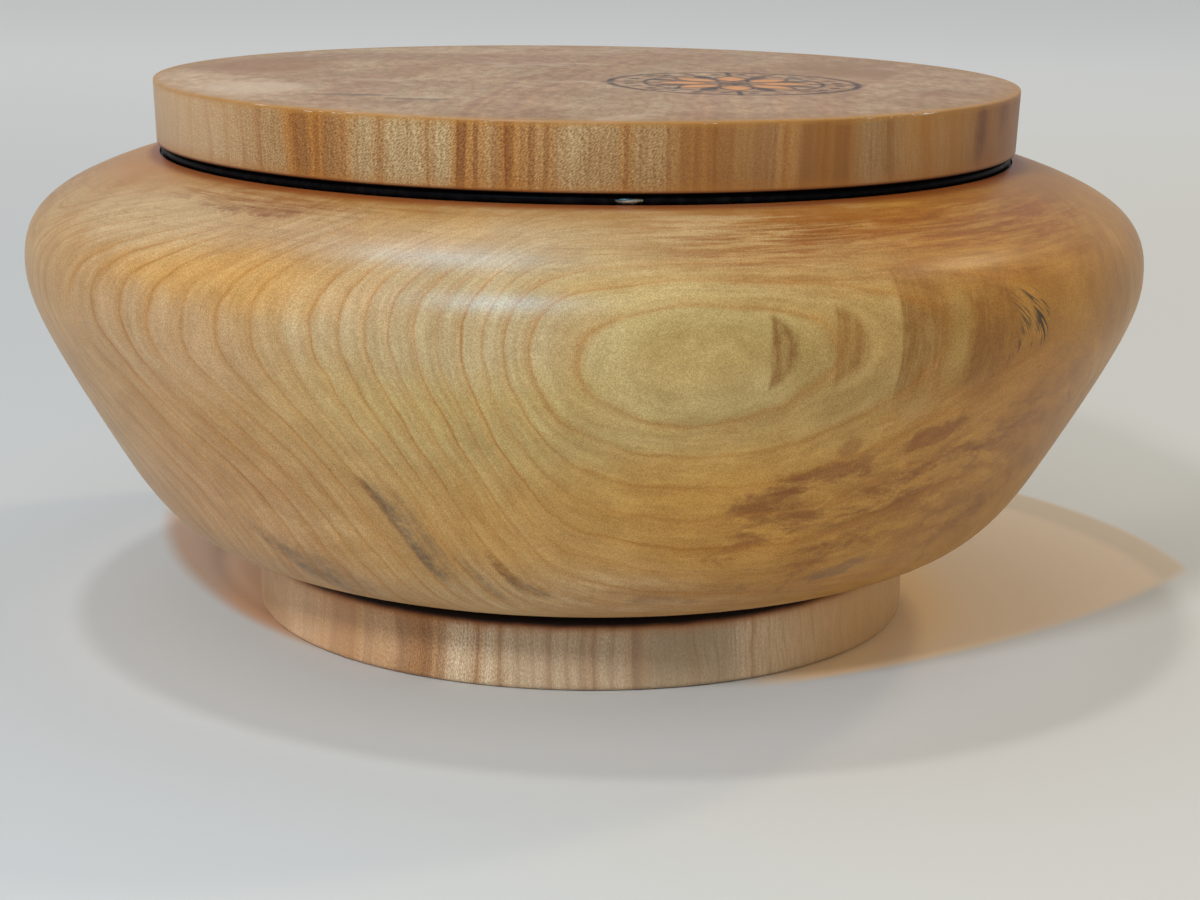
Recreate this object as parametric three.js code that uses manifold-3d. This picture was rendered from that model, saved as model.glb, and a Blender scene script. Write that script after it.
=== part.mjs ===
// A turned wooden box: a wide, round-shouldered bowl on a separate foot ring, a flat lid that
// lifts out of its mouth, and a thin black ring with a small metal sleeve under the lid's edge.
// Millimetres, +Z up. The origin is the centre of the foot's underside, and the front is -Y.
import * as THREE from "three";
import { mergeVertices } from "three/addons/utils/BufferGeometryUtils.js";
import Module from "manifold-3d";

// Driving dimensions of the foot ring
const foot = {
  radius: 66.4,
  height: 14.2,
  wall: 14.4,
  topRounding: 2.6,
  bottomRounding: 1.4,
  boreRounding: 1,
};

// Driving dimensions of the bowl; heights count up from the level named with them
const bowl = {
  baseInset: 2.4,
  widestRadius: 110.2,
  widestAboveBase: 57.5,
  seatRadius: 84,
  seatAboveWidest: 19.83,
  wall: 8,
  rimWidth: 9,
  tenonDepth: 6,
  tenonDish: 1.2,
  collarWidth: 5.6,
  collarAboveGroove: 1.2,
  grooveDepth: 0.43,
  grooveLip: 0.3,
  edgeRounding: 0.8,
  mouthRounding: 1.6,
};

// The slopes of the bowl's outside, in degrees from the level, where its three curves meet
const underSlope = 9.8;
const flankSlope = 59;
const shoulderSlope = 15.9;

// Where the lower curve runs into the flank, between the base and the widest line
const flankRadiusShare = 0.622;
const flankHeightShare = 0.345;

// The reach of each curve's two handles, as shares of the straight line between its ends
const lowerHandleShares = [0.387, 0.514];
const flankHandleShares = [0.747, 0.139];
const shoulderHandleShares = [0.279, 0.658];

// Driving dimensions of the lid
const lid = {
  overhang: 1,
  taper: 0.5,
  thickness: 12.25,
  spigotDepth: 6.35,
  spigotLand: 5,
  dishDepth: 3,
  topRounding: 1,
  bottomRounding: 0.6,
  spigotRounding: 1,
};

// Driving dimensions of the black ring and of the metal sleeve that joins its ends
const ring = {
  width: 2.4,
  height: 1.95,
};
const sleeve = {
  length: 5.4,
  proud: 0.3,
  azimuth: 5,
};
const neckShare = 0.45;
const sleeveEndShare = 0.85;

// Clearances between pieces
const glueSeam = 0.3;
const spigotClearance = 0.4;
const ringClearance = 0.15;

// How finely the round stretches are divided
const turnSteps = 64;
const curveSteps = 7;
const edgeSteps = 3;
const ringSteps = 12;
const sleeveTurnSteps = 16;
const sleeveCurveSteps = 6;
const edgeRoomShare = 0.45;

// Levels and radii that follow from the driving dimensions
const footBore = foot.radius - foot.wall;
const baseRadius = foot.radius - bowl.baseInset;
const baseLevel = foot.height + glueSeam;
const widestLevel = baseLevel + bowl.widestAboveBase;
const seatLevel = widestLevel + bowl.seatAboveWidest;
const grooveFloor = seatLevel - bowl.grooveDepth;
const grooveRadius = bowl.seatRadius - bowl.grooveLip;
const mouthRadius = bowl.seatRadius - bowl.rimWidth;
const collarRadius = mouthRadius + bowl.collarWidth;
const collarTop = grooveFloor + bowl.collarAboveGroove;
const ringLevel = grooveFloor + ringClearance + ring.height / 2;
const ringRadius = grooveRadius - ring.width / 2;
const lidUnderside = ringLevel + ring.height / 2 + ringClearance;
const lidTop = lidUnderside + lid.thickness;
const lidRadius = bowl.seatRadius + lid.overhang;
const spigotRadius = mouthRadius - spigotClearance;
const spigotEnd = lidUnderside - lid.spigotDepth;

// Points and directions in the plane of a profile: x is the radius and y the height.
const at = (radius, height) => new THREE.Vector2(radius, height);

function heading(degrees) {
  const angle = THREE.MathUtils.degToRad(degrees);
  return at(Math.cos(angle), Math.sin(angle));
}

// A smooth curve between two ends, each { point, slope }, whose handles reach the given shares
// of the straight line between the ends.
function sweptCurve(start, end, handleShares) {
  const span = start.point.distanceTo(end.point);
  const leave = heading(start.slope).multiplyScalar(handleShares[0] * span);
  const arrive = heading(end.slope).multiplyScalar(handleShares[1] * span);
  const curve = new THREE.CubicBezierCurve(
    start.point,
    start.point.clone().add(leave),
    end.point.clone().sub(arrive),
    end.point,
  );
  return curve.getPoints(curveSteps);
}

// Replaces a corner by a small round edge, which takes no more than its share of either side.
function roundedCorner(before, corner, after, rounding) {
  const back = before.clone().sub(corner);
  const on = after.clone().sub(corner);
  const halfAngle = Math.acos(back.dot(on) / (back.length() * on.length())) / 2;
  const room = Math.min(back.length(), on.length()) * edgeRoomShare;
  const reach = Math.min(rounding / Math.tan(halfAngle), room);
  const start = corner.clone().add(back.setLength(reach));
  const end = corner.clone().add(on.setLength(reach));
  return new THREE.QuadraticBezierCurve(start, corner, end).getPoints(edgeSteps);
}

// A profile from plain points and rounded corners, each { corner, rounding }.
function profile(items) {
  const corners = items.map((item) => item.corner ?? item);
  return items.flatMap((item, i) => {
    if (!item.corner) return [item];
    const before = corners.at(i - 1);
    const after = corners[(i + 1) % corners.length];
    return roundedCorner(before, item.corner, after, item.rounding);
  });
}

// Turns a profile about the Z axis. It runs with the solid on its left, from axis to axis.
function turned(points) {
  return new THREE.LatheGeometry(points, turnSteps).rotateX(Math.PI / 2);
}

// Turns a profile that closes on itself, such as a ring's section.
function turnedRing(points) {
  return turned([...points, points[0].clone()]);
}

// The bowl's outside from the base to the seat, moved inwards by an inset along its normals, and
// run on along the shoulder's slope to the radius where it ends.
function bowlCurve(inset, endRadius) {
  const anchor = (point, slope) => {
    const normal = heading(slope + 90);
    return { point: point.clone().addScaledVector(normal, inset), slope };
  };
  const base = anchor(at(baseRadius, baseLevel), underSlope);
  const flankRadius = THREE.MathUtils.lerp(baseRadius, bowl.widestRadius, flankRadiusShare);
  const flankLevel = THREE.MathUtils.lerp(baseLevel, widestLevel, flankHeightShare);
  const flank = anchor(at(flankRadius, flankLevel), flankSlope);
  const widest = anchor(at(bowl.widestRadius, widestLevel), 90);
  const seat = anchor(at(bowl.seatRadius, seatLevel), 180 - shoulderSlope);
  const rise = (seat.point.x - endRadius) * Math.tan(THREE.MathUtils.degToRad(shoulderSlope));
  const end = { point: at(endRadius, seat.point.y + rise), slope: seat.slope };
  return [
    ...sweptCurve(base, flank, lowerHandleShares),
    ...sweptCurve(flank, widest, flankHandleShares).slice(1),
    ...sweptCurve(widest, end, shoulderHandleShares).slice(1),
  ];
}

// The bowl: a hollow form with a tenon under it, and a rim with a collar, a groove and a lip.
function bowlGeometry() {
  const outside = bowlCurve(0, bowl.seatRadius);
  const inside = bowlCurve(bowl.wall, mouthRadius).reverse();
  const ceiling = inside.shift();
  const floor = inside.at(-1).y;
  const tenonRadius = footBore - glueSeam;
  const tenonEnd = baseLevel - bowl.tenonDepth;
  return turned(
    profile([
      at(0, tenonEnd + bowl.tenonDish),
      { corner: at(tenonRadius, tenonEnd), rounding: bowl.edgeRounding },
      at(tenonRadius, baseLevel),
      ...outside,
      at(grooveRadius, grooveFloor),
      at(collarRadius, grooveFloor),
      { corner: at(collarRadius, collarTop), rounding: bowl.edgeRounding },
      { corner: at(mouthRadius, collarTop), rounding: bowl.edgeRounding },
      { corner: ceiling, rounding: bowl.mouthRounding },
      ...inside,
      at(0, floor),
    ]),
  );
}

// The foot: a plain ring with eased edges, bored through for the bowl's tenon.
function footGeometry() {
  return turnedRing(
    profile([
      { corner: at(footBore, 0), rounding: foot.boreRounding },
      { corner: at(foot.radius, 0), rounding: foot.bottomRounding },
      { corner: at(foot.radius, foot.height), rounding: foot.topRounding },
      at(footBore, foot.height),
    ]),
  );
}

// The lid: a flat disc with a spigot turned on its underside, dished within the spigot.
function lidGeometry() {
  const dishRadius = spigotRadius - lid.spigotLand;
  const dishTop = at(0, spigotEnd + lid.dishDepth);
  const dishShoulder = at(dishRadius / 2, dishTop.y);
  const dish = new THREE.QuadraticBezierCurve(dishTop, dishShoulder, at(dishRadius, spigotEnd));
  return turned(
    profile([
      ...dish.getPoints(curveSteps),
      { corner: at(spigotRadius, spigotEnd), rounding: lid.spigotRounding },
      at(spigotRadius, lidUnderside),
      { corner: at(lidRadius - lid.taper, lidUnderside), rounding: lid.bottomRounding },
      { corner: at(lidRadius, lidTop), rounding: lid.topRounding },
      at(0, lidTop),
    ]),
  );
}

// An oval ring about the Z axis, at the black ring's level.
function ovalRing(halfWidth, halfHeight) {
  const oval = new THREE.EllipseCurve(ringRadius, ringLevel, halfWidth, halfHeight);
  return turnedRing(oval.getPoints(ringSteps).slice(0, -1));
}

const wasm = await Module();
wasm.setup();

// A closed mesh as a solid that can be joined and cut, and back.
function solidOf(geometry) {
  const bare = geometry.clone();
  bare.deleteAttribute("normal");
  bare.deleteAttribute("uv");
  const merged = mergeVertices(bare);
  const mesh = new wasm.Mesh({
    numProp: 3,
    vertProperties: merged.attributes.position.array,
    triVerts: new Uint32Array(merged.index.array),
  });
  return new wasm.Manifold(mesh);
}

function geometryOf(solid) {
  const mesh = solid.getMesh();
  const geometry = new THREE.BufferGeometry();
  geometry.setAttribute("position", new THREE.BufferAttribute(mesh.vertProperties, 3));
  geometry.setIndex(new THREE.BufferAttribute(mesh.triVerts, 1));
  geometry.computeVertexNormals();
  return geometry;
}

// Carries a geometry that lies along X to the sleeve's place on the ring.
function placedAtSleeve(geometry) {
  const turn = THREE.MathUtils.degToRad(sleeve.azimuth);
  return geometry.translate(0, -ringRadius, ringLevel).rotateZ(turn);
}

// The black ring: an oval bead all the way round, drawn down to a thin neck inside the sleeve.
function ringGeometry() {
  const gate = new THREE.BoxGeometry(
    sleeve.length + 2 * ringClearance,
    ring.width + 2 * ringClearance,
    ring.height + 2 * ringClearance,
  );
  const bead = solidOf(ovalRing(ring.width / 2, ring.height / 2));
  const neckRadius = (neckShare * ring.height) / 2;
  const neck = solidOf(ovalRing(neckRadius, neckRadius));
  return geometryOf(bead.subtract(solidOf(placedAtSleeve(gate))).add(neck));
}

// The sleeve: a small barrel, bored for the ring's neck, a little wider than the ring.
function sleeveGeometry() {
  const boreRadius = (neckShare * ring.height) / 2 + ringClearance;
  const fullRadius = ring.height / 2;
  const endRadius = fullRadius * sleeveEndShare;
  const half = sleeve.length / 2;
  const middle = 2 * fullRadius - endRadius;
  const bulge = new THREE.QuadraticBezierCurve(at(endRadius, -half), at(middle, 0), at(endRadius, half));
  const section = [at(boreRadius, -half), ...bulge.getPoints(sleeveCurveSteps), at(boreRadius, half)];
  const barrel = new THREE.LatheGeometry([...section, section[0].clone()], sleeveTurnSteps);
  const widthScale = (ring.width / 2 + sleeve.proud) / fullRadius;
  return placedAtSleeve(barrel.rotateZ(-Math.PI / 2).scale(1, widthScale, 1));
}

// One named piece with its own finish.
function piece(name, geometry, color, roughness, metalness = 0) {
  const material = new THREE.MeshStandardMaterial({ color, roughness, metalness });
  const mesh = new THREE.Mesh(geometry, material);
  mesh.name = name;
  return mesh;
}

const box = new THREE.Group();
box.name = "turned_wooden_box";

const base = new THREE.Group();
base.add(piece("foot_ring", footGeometry(), 0xc9a685, 0.5));
base.add(piece("bowl", bowlGeometry(), 0xc39a66, 0.38));

const cover = new THREE.Group();
cover.add(piece("lid", lidGeometry(), 0xb98c5e, 0.42));

const seal = new THREE.Group();
seal.add(piece("black_ring", ringGeometry(), 0x0d0b0c, 0.35));
seal.add(piece("ring_sleeve", sleeveGeometry(), 0xc4c2bb, 0.3, 1));

box.add(base, seal, cover);

export default box;
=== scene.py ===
"""The turned wooden box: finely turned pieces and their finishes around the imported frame.

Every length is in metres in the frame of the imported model: +Z up along the turning axis, the
front at -Y. Inside the finishes, patterns are laid out in millimetres and degrees.
"""

import logging
import math
from collections.abc import Sequence
from dataclasses import dataclass
from enum import Enum

import bpy
from mathutils import Matrix, Vector


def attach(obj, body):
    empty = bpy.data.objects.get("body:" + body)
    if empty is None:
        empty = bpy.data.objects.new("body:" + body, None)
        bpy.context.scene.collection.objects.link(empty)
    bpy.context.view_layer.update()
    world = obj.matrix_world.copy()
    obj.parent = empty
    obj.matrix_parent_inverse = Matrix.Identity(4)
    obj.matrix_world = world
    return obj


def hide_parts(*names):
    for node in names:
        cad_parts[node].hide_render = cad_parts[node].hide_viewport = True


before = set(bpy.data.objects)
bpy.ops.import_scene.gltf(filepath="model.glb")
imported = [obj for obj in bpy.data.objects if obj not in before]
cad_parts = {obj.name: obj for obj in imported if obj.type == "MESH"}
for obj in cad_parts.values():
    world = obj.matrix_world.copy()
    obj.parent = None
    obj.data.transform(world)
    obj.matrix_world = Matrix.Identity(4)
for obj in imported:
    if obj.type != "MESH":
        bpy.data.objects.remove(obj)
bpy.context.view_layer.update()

PER_METRE = 1000.0

log = logging.getLogger("turned_box")

Colour = tuple[float, float, float, float]
Point = tuple[float, float]
Triple = tuple[float, float, float]


class Body(Enum):
    """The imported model's bodies, which the pieces ride on."""

    BOX = "box"
    SEAL = "seal"
    COVER = "cover"


class Blend(Enum):
    """How one colour is laid over another."""

    COVER = "MIX"
    DARKEN = "MULTIPLY"


@dataclass(frozen=True)
class FootSizes:
    """The foot ring, in metres."""

    radius: float = 0.0658
    bore: float = 0.052
    height: float = 0.0142
    top_rounding: float = 0.0026
    bottom_rounding: float = 0.0014
    bore_rounding: float = 0.001


@dataclass(frozen=True)
class BowlSizes:
    """The bowl's levels and radii, in metres, with its slopes in degrees."""

    base_radius: float = 0.064
    base_level: float = 0.0145
    flank_radius: float = 0.092736
    flank_level: float = 0.034338
    widest_radius: float = 0.1102
    widest_level: float = 0.072
    seat_radius: float = 0.084
    seat_level: float = 0.09183
    under_slope: float = 9.8
    flank_slope: float = 59.0
    shoulder_slope: float = 15.9
    under_reach: Point = (0.387, 0.514)
    flank_reach: Point = (0.747, 0.139)
    shoulder_reach: Point = (0.279, 0.658)
    outside_steps: tuple[int, int, int] = (22, 26, 32)
    inside_steps: tuple[int, int, int] = (14, 16, 20)
    wall: float = 0.008
    mouth_radius: float = 0.075
    groove_radius: float = 0.0837
    groove_floor: float = 0.0914
    collar_radius: float = 0.0806
    collar_top: float = 0.0926
    tenon_radius: float = 0.0517
    tenon_end: float = 0.0085
    tenon_dish: float = 0.0012
    edge_rounding: float = 0.0008
    mouth_rounding: float = 0.0016


@dataclass(frozen=True)
class LidSizes:
    """The lid, in metres, with shares of a radius for the dish's flat and the rings on the top."""

    radius: float = 0.085
    taper: float = 0.0005
    underside: float = 0.09365
    top: float = 0.1059
    spigot_radius: float = 0.0746
    spigot_end: float = 0.0873
    dish_radius: float = 0.0696
    dish_depth: float = 0.003
    dish_flat: float = 0.55
    dish_steps: int = 16
    top_rounding: float = 0.0004
    bottom_rounding: float = 0.0004
    spigot_rounding: float = 0.001
    top_rings: Point = (0.66, 0.33)


@dataclass(frozen=True)
class SealSizes:
    """The black ring and the metal sleeve on it, in metres, with the sleeve's place in degrees."""

    ring_radius: float = 0.0825
    ring_level: float = 0.092525
    ring_width: float = 0.0024
    ring_height: float = 0.00195
    ring_points: int = 20
    sleeve_length: float = 0.0054
    sleeve_proud: float = 0.0003
    sleeve_azimuth: float = 5.0
    sleeve_bore_rounding: float = 0.0001
    sleeve_end_rounding: float = 0.00015
    sleeve_stations: tuple[float, ...] = (-0.8, -0.6, -0.4, -0.2, 0.0, 0.2, 0.4, 0.6, 0.8)
    neck_share: float = 0.45
    end_share: float = 0.5
    clearance: float = 0.00015


@dataclass(frozen=True)
class Corner:
    """One point of a profile, with the radius its corner is eased by."""

    radius: float
    level: float
    rounding: float = 0.0


def heading(degrees: float) -> Vector:
    """The direction of a slope in the plane of a profile, with a length of one."""
    return Vector((math.cos(math.radians(degrees)), math.sin(math.radians(degrees))))


def bezier(a: Vector, b: Vector, c: Vector, d: Vector, steps: int) -> list[Vector]:
    """Points along a cubic curve from a to d, both ends among them, with b and c as its handles."""
    found = []
    for i in range(steps + 1):
        t = i / steps
        s = 1 - t
        found.append(a * s**3 + b * 3 * s * s * t + c * 3 * s * t * t + d * t**3)
    return found


def swept(
    start: tuple[Vector, float], end: tuple[Vector, float], reach: Point, steps: int
) -> list[Vector]:
    """A smooth curve that leaves one point and reaches another on given slopes.

    Args:
        start: The first point and its slope in degrees.
        end: The last point and its slope in degrees.
        reach: The two handles, as shares of the straight line between the ends.
        steps: How many stretches the curve is divided into.

    Returns:
        The points in order.
    """
    span = (end[0] - start[0]).length
    leave = start[0] + heading(start[1]) * reach[0] * span
    arrive = end[0] - heading(end[1]) * reach[1] * span
    return bezier(start[0], leave, arrive, end[0], steps)


# A rounded corner: the share of a side that it may take, its handles and its stretches.
LONGEST_EASE = 0.45
EASE_HANDLE = 0.56
EASE_STEPS = 5


def eased(corners: Sequence[Corner], closed: bool) -> list[Point]:
    """A profile with its rounded corners worked out.

    Args:
        corners: The profile's points in order.
        closed: True where the last point joins the first.

    Returns:
        The radius and level of every point.
    """
    points: list[Point] = []
    count = len(corners)
    for i, corner in enumerate(corners):
        here = Vector((corner.radius, corner.level))
        if not corner.rounding or (not closed and i in (0, count - 1)):
            points.append(tuple(here))
            continue
        before, after = corners[i - 1], corners[(i + 1) % count]
        back = Vector((before.radius, before.level)) - here
        on = Vector((after.radius, after.level)) - here
        longest = LONGEST_EASE * min(back.length, on.length)
        reach = min(corner.rounding / math.tan(back.angle(on) / 2), longest)
        first = here + back.normalized() * reach
        last = here + on.normalized() * reach
        handles = first.lerp(here, EASE_HANDLE), last.lerp(here, EASE_HANDLE)
        points += [tuple(point) for point in bezier(first, *handles, last, EASE_STEPS)]
    return points


@dataclass(frozen=True)
class Lathe:
    """Draws a profile by extruding a point and spins it about an axis, as on a lathe."""

    steps: int = 256
    seed: float = 0.001
    weld: float = 1e-6
    edge_angle: float = 32.0

    def draw(self, name: str, points: Sequence[Point], closed: bool) -> bpy.types.Object:
        """Draws a profile in the plane of X and Z and leaves it in edit mode.

        Args:
            name: The piece's name.
            points: The radius and level of every point.
            closed: True where the last point joins the first.

        Returns:
            The piece.
        """
        bpy.ops.object.select_all(action="DESELECT")
        first = Vector((points[0][0], 0.0, points[0][1]))
        bpy.ops.mesh.primitive_plane_add(size=self.seed, location=first)
        piece = bpy.context.object
        piece.name = piece.data.name = name
        bpy.ops.object.transform_apply(location=True)
        bpy.ops.object.mode_set(mode="EDIT")
        bpy.ops.mesh.select_all(action="SELECT")
        bpy.ops.mesh.merge(type="CENTER")
        for (r0, z0), (r1, z1) in zip(points, points[1:]):
            bpy.ops.mesh.extrude_region_move(
                TRANSFORM_OT_translate={"value": (r1 - r0, 0.0, z1 - z0)}
            )
        if closed:
            self.select_near(piece, first)
            bpy.ops.mesh.edge_face_add()
        return piece

    def select_near(self, piece: bpy.types.Object, place: Vector) -> None:
        """Adds the points at a place to those of the piece that are selected already."""
        bpy.ops.mesh.select_mode(type="VERT")
        bpy.ops.object.mode_set(mode="OBJECT")
        for vertex in piece.data.vertices:
            if (vertex.co - place).length < self.weld:
                vertex.select = True
        bpy.ops.object.mode_set(mode="EDIT")

    def turn(self, piece: bpy.types.Object, axis: Triple = (0, 0, 1)) -> bpy.types.Object:
        """Spins the drawn profile all the way round an axis through the origin, and smooths it."""
        bpy.ops.mesh.select_all(action="SELECT")
        bpy.ops.mesh.spin(steps=self.steps, angle=math.tau, center=(0, 0, 0), axis=axis)
        bpy.ops.mesh.select_all(action="SELECT")
        bpy.ops.mesh.remove_doubles(threshold=self.weld)
        bpy.ops.mesh.normals_make_consistent(inside=False)
        bpy.ops.object.mode_set(mode="OBJECT")
        bpy.ops.object.shade_smooth_by_angle(angle=math.radians(self.edge_angle))
        return piece


class Signal:
    """A value, colour or vector on its way from one node to the next."""

    def __init__(self, wiring: "Wiring", socket: bpy.types.NodeSocket) -> None:
        """Keeps the socket that the signal comes from."""
        self.wiring = wiring
        self.socket = socket

    def math(self, operation: str, *others: "Signal | float") -> "Signal":
        """Runs the signal through a Math node, with its further inputs in order."""
        return self.wiring.math(operation, self, *others)

    def __add__(self, other: "Signal | float") -> "Signal":
        """Adds."""
        return self.math("ADD", other)

    def __sub__(self, other: "Signal | float") -> "Signal":
        """Subtracts."""
        return self.math("SUBTRACT", other)

    def __rsub__(self, other: float) -> "Signal":
        """Is subtracted."""
        return self.wiring.math("SUBTRACT", other, self)

    def __mul__(self, other: "Signal | float") -> "Signal":
        """Multiplies."""
        return self.math("MULTIPLY", other)

    def __truediv__(self, other: "Signal | float") -> "Signal":
        """Divides."""
        return self.math("DIVIDE", other)

    def rise(self, low: float, high: float) -> "Signal":
        """Goes smoothly from 0 at low to 1 at high, either way round."""
        return self.wiring.spread(self, low, high, 0.0, 1.0, smooth=True)

    def within(self, centre: float, half: float, soft: float) -> "Signal":
        """Is 1 within half of a centre, and fades to 0 over soft."""
        return (self - centre).math("ABSOLUTE").rise(half + soft, half)


class Wiring:
    """Lays nodes into one node tree, so that a finish can be written as a formula."""

    def __init__(self, tree: bpy.types.NodeTree) -> None:
        """Takes the tree to work in."""
        self.tree = tree

    def node(self, kind: str, **settings: object) -> bpy.types.Node:
        """Adds a node of a type, with values of its own properties."""
        made = self.tree.nodes.new(kind)
        for name, value in settings.items():
            setattr(made, name, value)
        return made

    def feed(self, socket: bpy.types.NodeSocket, value: object) -> None:
        """Links a signal to a socket, or writes a plain value on it."""
        if isinstance(value, Signal):
            self.tree.links.new(value.socket, socket)
        else:
            socket.default_value = value

    def fill(self, node: bpy.types.Node, **values: object) -> bpy.types.Node:
        """Feeds a node's inputs by name, with underscores for spaces."""
        for name, value in values.items():
            self.feed(node.inputs[name.replace("_", " ")], value)
        return node

    def run(self, node: bpy.types.Node, *values: object) -> Signal:
        """Feeds a node's inputs in order, and gives its first output."""
        for socket, value in zip(node.inputs, values):
            self.feed(socket, value)
        return Signal(self, node.outputs[0])

    def math(self, operation: str, *values: Signal | float) -> Signal:
        """Adds a Math node with its inputs in order."""
        return self.run(self.node("ShaderNodeMath", operation=operation), *values)

    def aim(self, operation: str, *values: object) -> Signal:
        """Adds a Vector Math node, and gives its vector, or its value where it has one."""
        made = self.node("ShaderNodeVectorMath", operation=operation)
        vector = self.run(made, *values)
        single = operation in ("LENGTH", "DOT_PRODUCT", "DISTANCE")
        return Signal(self, made.outputs["Value"]) if single else vector

    def moved(self, place: Signal, way: Signal, reach: Triple) -> Signal:
        """Moves a place along a vector that is scaled in each direction."""
        return self.aim("ADD", place, self.aim("MULTIPLY", way, reach))

    def scaled(self, vector: Signal, by: Signal | float) -> Signal:
        """Multiplies a vector by a value."""
        made = self.node("ShaderNodeVectorMath", operation="SCALE")
        return Signal(self, self.fill(made, Vector=vector, Scale=by).outputs["Vector"])

    def turned(self, vector: Signal, angle: Signal | float) -> Signal:
        """Turns a vector about Z, by an angle in radians."""
        made = self.node("ShaderNodeVectorRotate", rotation_type="Z_AXIS")
        return Signal(self, self.fill(made, Vector=vector, Angle=angle).outputs["Vector"])

    def spread(
        self,
        value: Signal,
        low: float,
        high: float,
        out_low: float,
        out_high: float,
        smooth: bool = False,
    ) -> Signal:
        """Carries a range of values over to another range.

        Args:
            value: What is carried over.
            low: The start of its range.
            high: The end of its range.
            out_low: The result at the start.
            out_high: The result at the end.
            smooth: True to ease in and out.

        Returns:
            The result, kept within the new range.
        """
        kind = "SMOOTHSTEP" if smooth else "LINEAR"
        made = self.node("ShaderNodeMapRange", interpolation_type=kind, clamp=True)
        self.fill(made, Value=value, From_Min=low, From_Max=high, To_Min=out_low, To_Max=out_high)
        return Signal(self, made.outputs["Result"])

    def split(self, vector: Signal) -> tuple[Signal, Signal, Signal]:
        """Takes a vector apart into its three values."""
        made = self.node("ShaderNodeSeparateXYZ")
        self.feed(made.inputs[0], vector)
        return tuple(Signal(self, output) for output in made.outputs)

    def join(self, x: Signal | float, y: Signal | float, z: Signal | float = 0.0) -> Signal:
        """Puts three values together as a vector."""
        return self.run(self.node("ShaderNodeCombineXYZ"), x, y, z)

    def noise(
        self,
        place: Signal,
        scale: float,
        detail: float = 2.0,
        roughness: float = 0.5,
        distortion: float = 0.0,
        stretch: Triple | None = None,
        colour: bool = False,
        fourth: Signal | None = None,
    ) -> Signal:
        """Adds a Noise Texture.

        Args:
            place: Where it is read.
            scale: Its scale.
            detail: Its number of finer layers.
            roughness: How strong the finer layers are.
            distortion: How much it is bent out of shape.
            stretch: Scales of the three directions, laid on first.
            colour: True to get its colour, for use as a vector.
            fourth: A fourth coordinate, where the noise has one.

        Returns:
            The noise, around one half.
        """
        if stretch:
            place = self.aim("MULTIPLY", place, stretch)
        made = self.node("ShaderNodeTexNoise")
        self.fill(made, Vector=place, Scale=scale, Detail=detail)
        self.fill(made, Roughness=roughness, Distortion=distortion)
        if fourth:
            made.noise_dimensions = "4D"
            self.fill(made, W=fourth)
        return Signal(self, made.outputs["Color" if colour else "Fac"])

    def place(self) -> Signal:
        """Gives the place on the piece, in millimetres."""
        coordinates = self.node("ShaderNodeTexCoord")
        return self.scaled(Signal(self, coordinates.outputs["Object"]), PER_METRE)

    def effect(self, tree: bpy.types.NodeTree, **values: object) -> dict[str, Signal]:
        """Places a node group with its inputs by name, and gives its outputs by name."""
        made = self.fill(self.node("ShaderNodeGroup", node_tree=tree), **values)
        return {out.name: Signal(self, out) for out in made.outputs}


class Effect:
    """A node group under construction, with its named inputs and outputs."""

    KINDS = {"value": "NodeSocketFloat", "vector": "NodeSocketVector"}

    def __init__(self, name: str, inputs: dict[str, str], outputs: dict[str, str]) -> None:
        """Makes the group's tree and its sockets, from the kind of each by name."""
        self.tree = bpy.data.node_groups.new(name, "ShaderNodeTree")
        for way, sockets in (("INPUT", inputs), ("OUTPUT", outputs)):
            for label, kind in sockets.items():
                self.tree.interface.new_socket(label, in_out=way, socket_type=self.KINDS[kind])
        self.wiring = Wiring(self.tree)
        entry = self.wiring.node("NodeGroupInput")
        self.inputs = {out.name: Signal(self.wiring, out) for out in entry.outputs if out.name}
        self.exit = self.wiring.node("NodeGroupOutput")

    def give(self, **values: Signal) -> bpy.types.NodeTree:
        """Links the outputs and hands over the group."""
        self.wiring.fill(self.exit, **values)
        return self.tree


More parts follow.
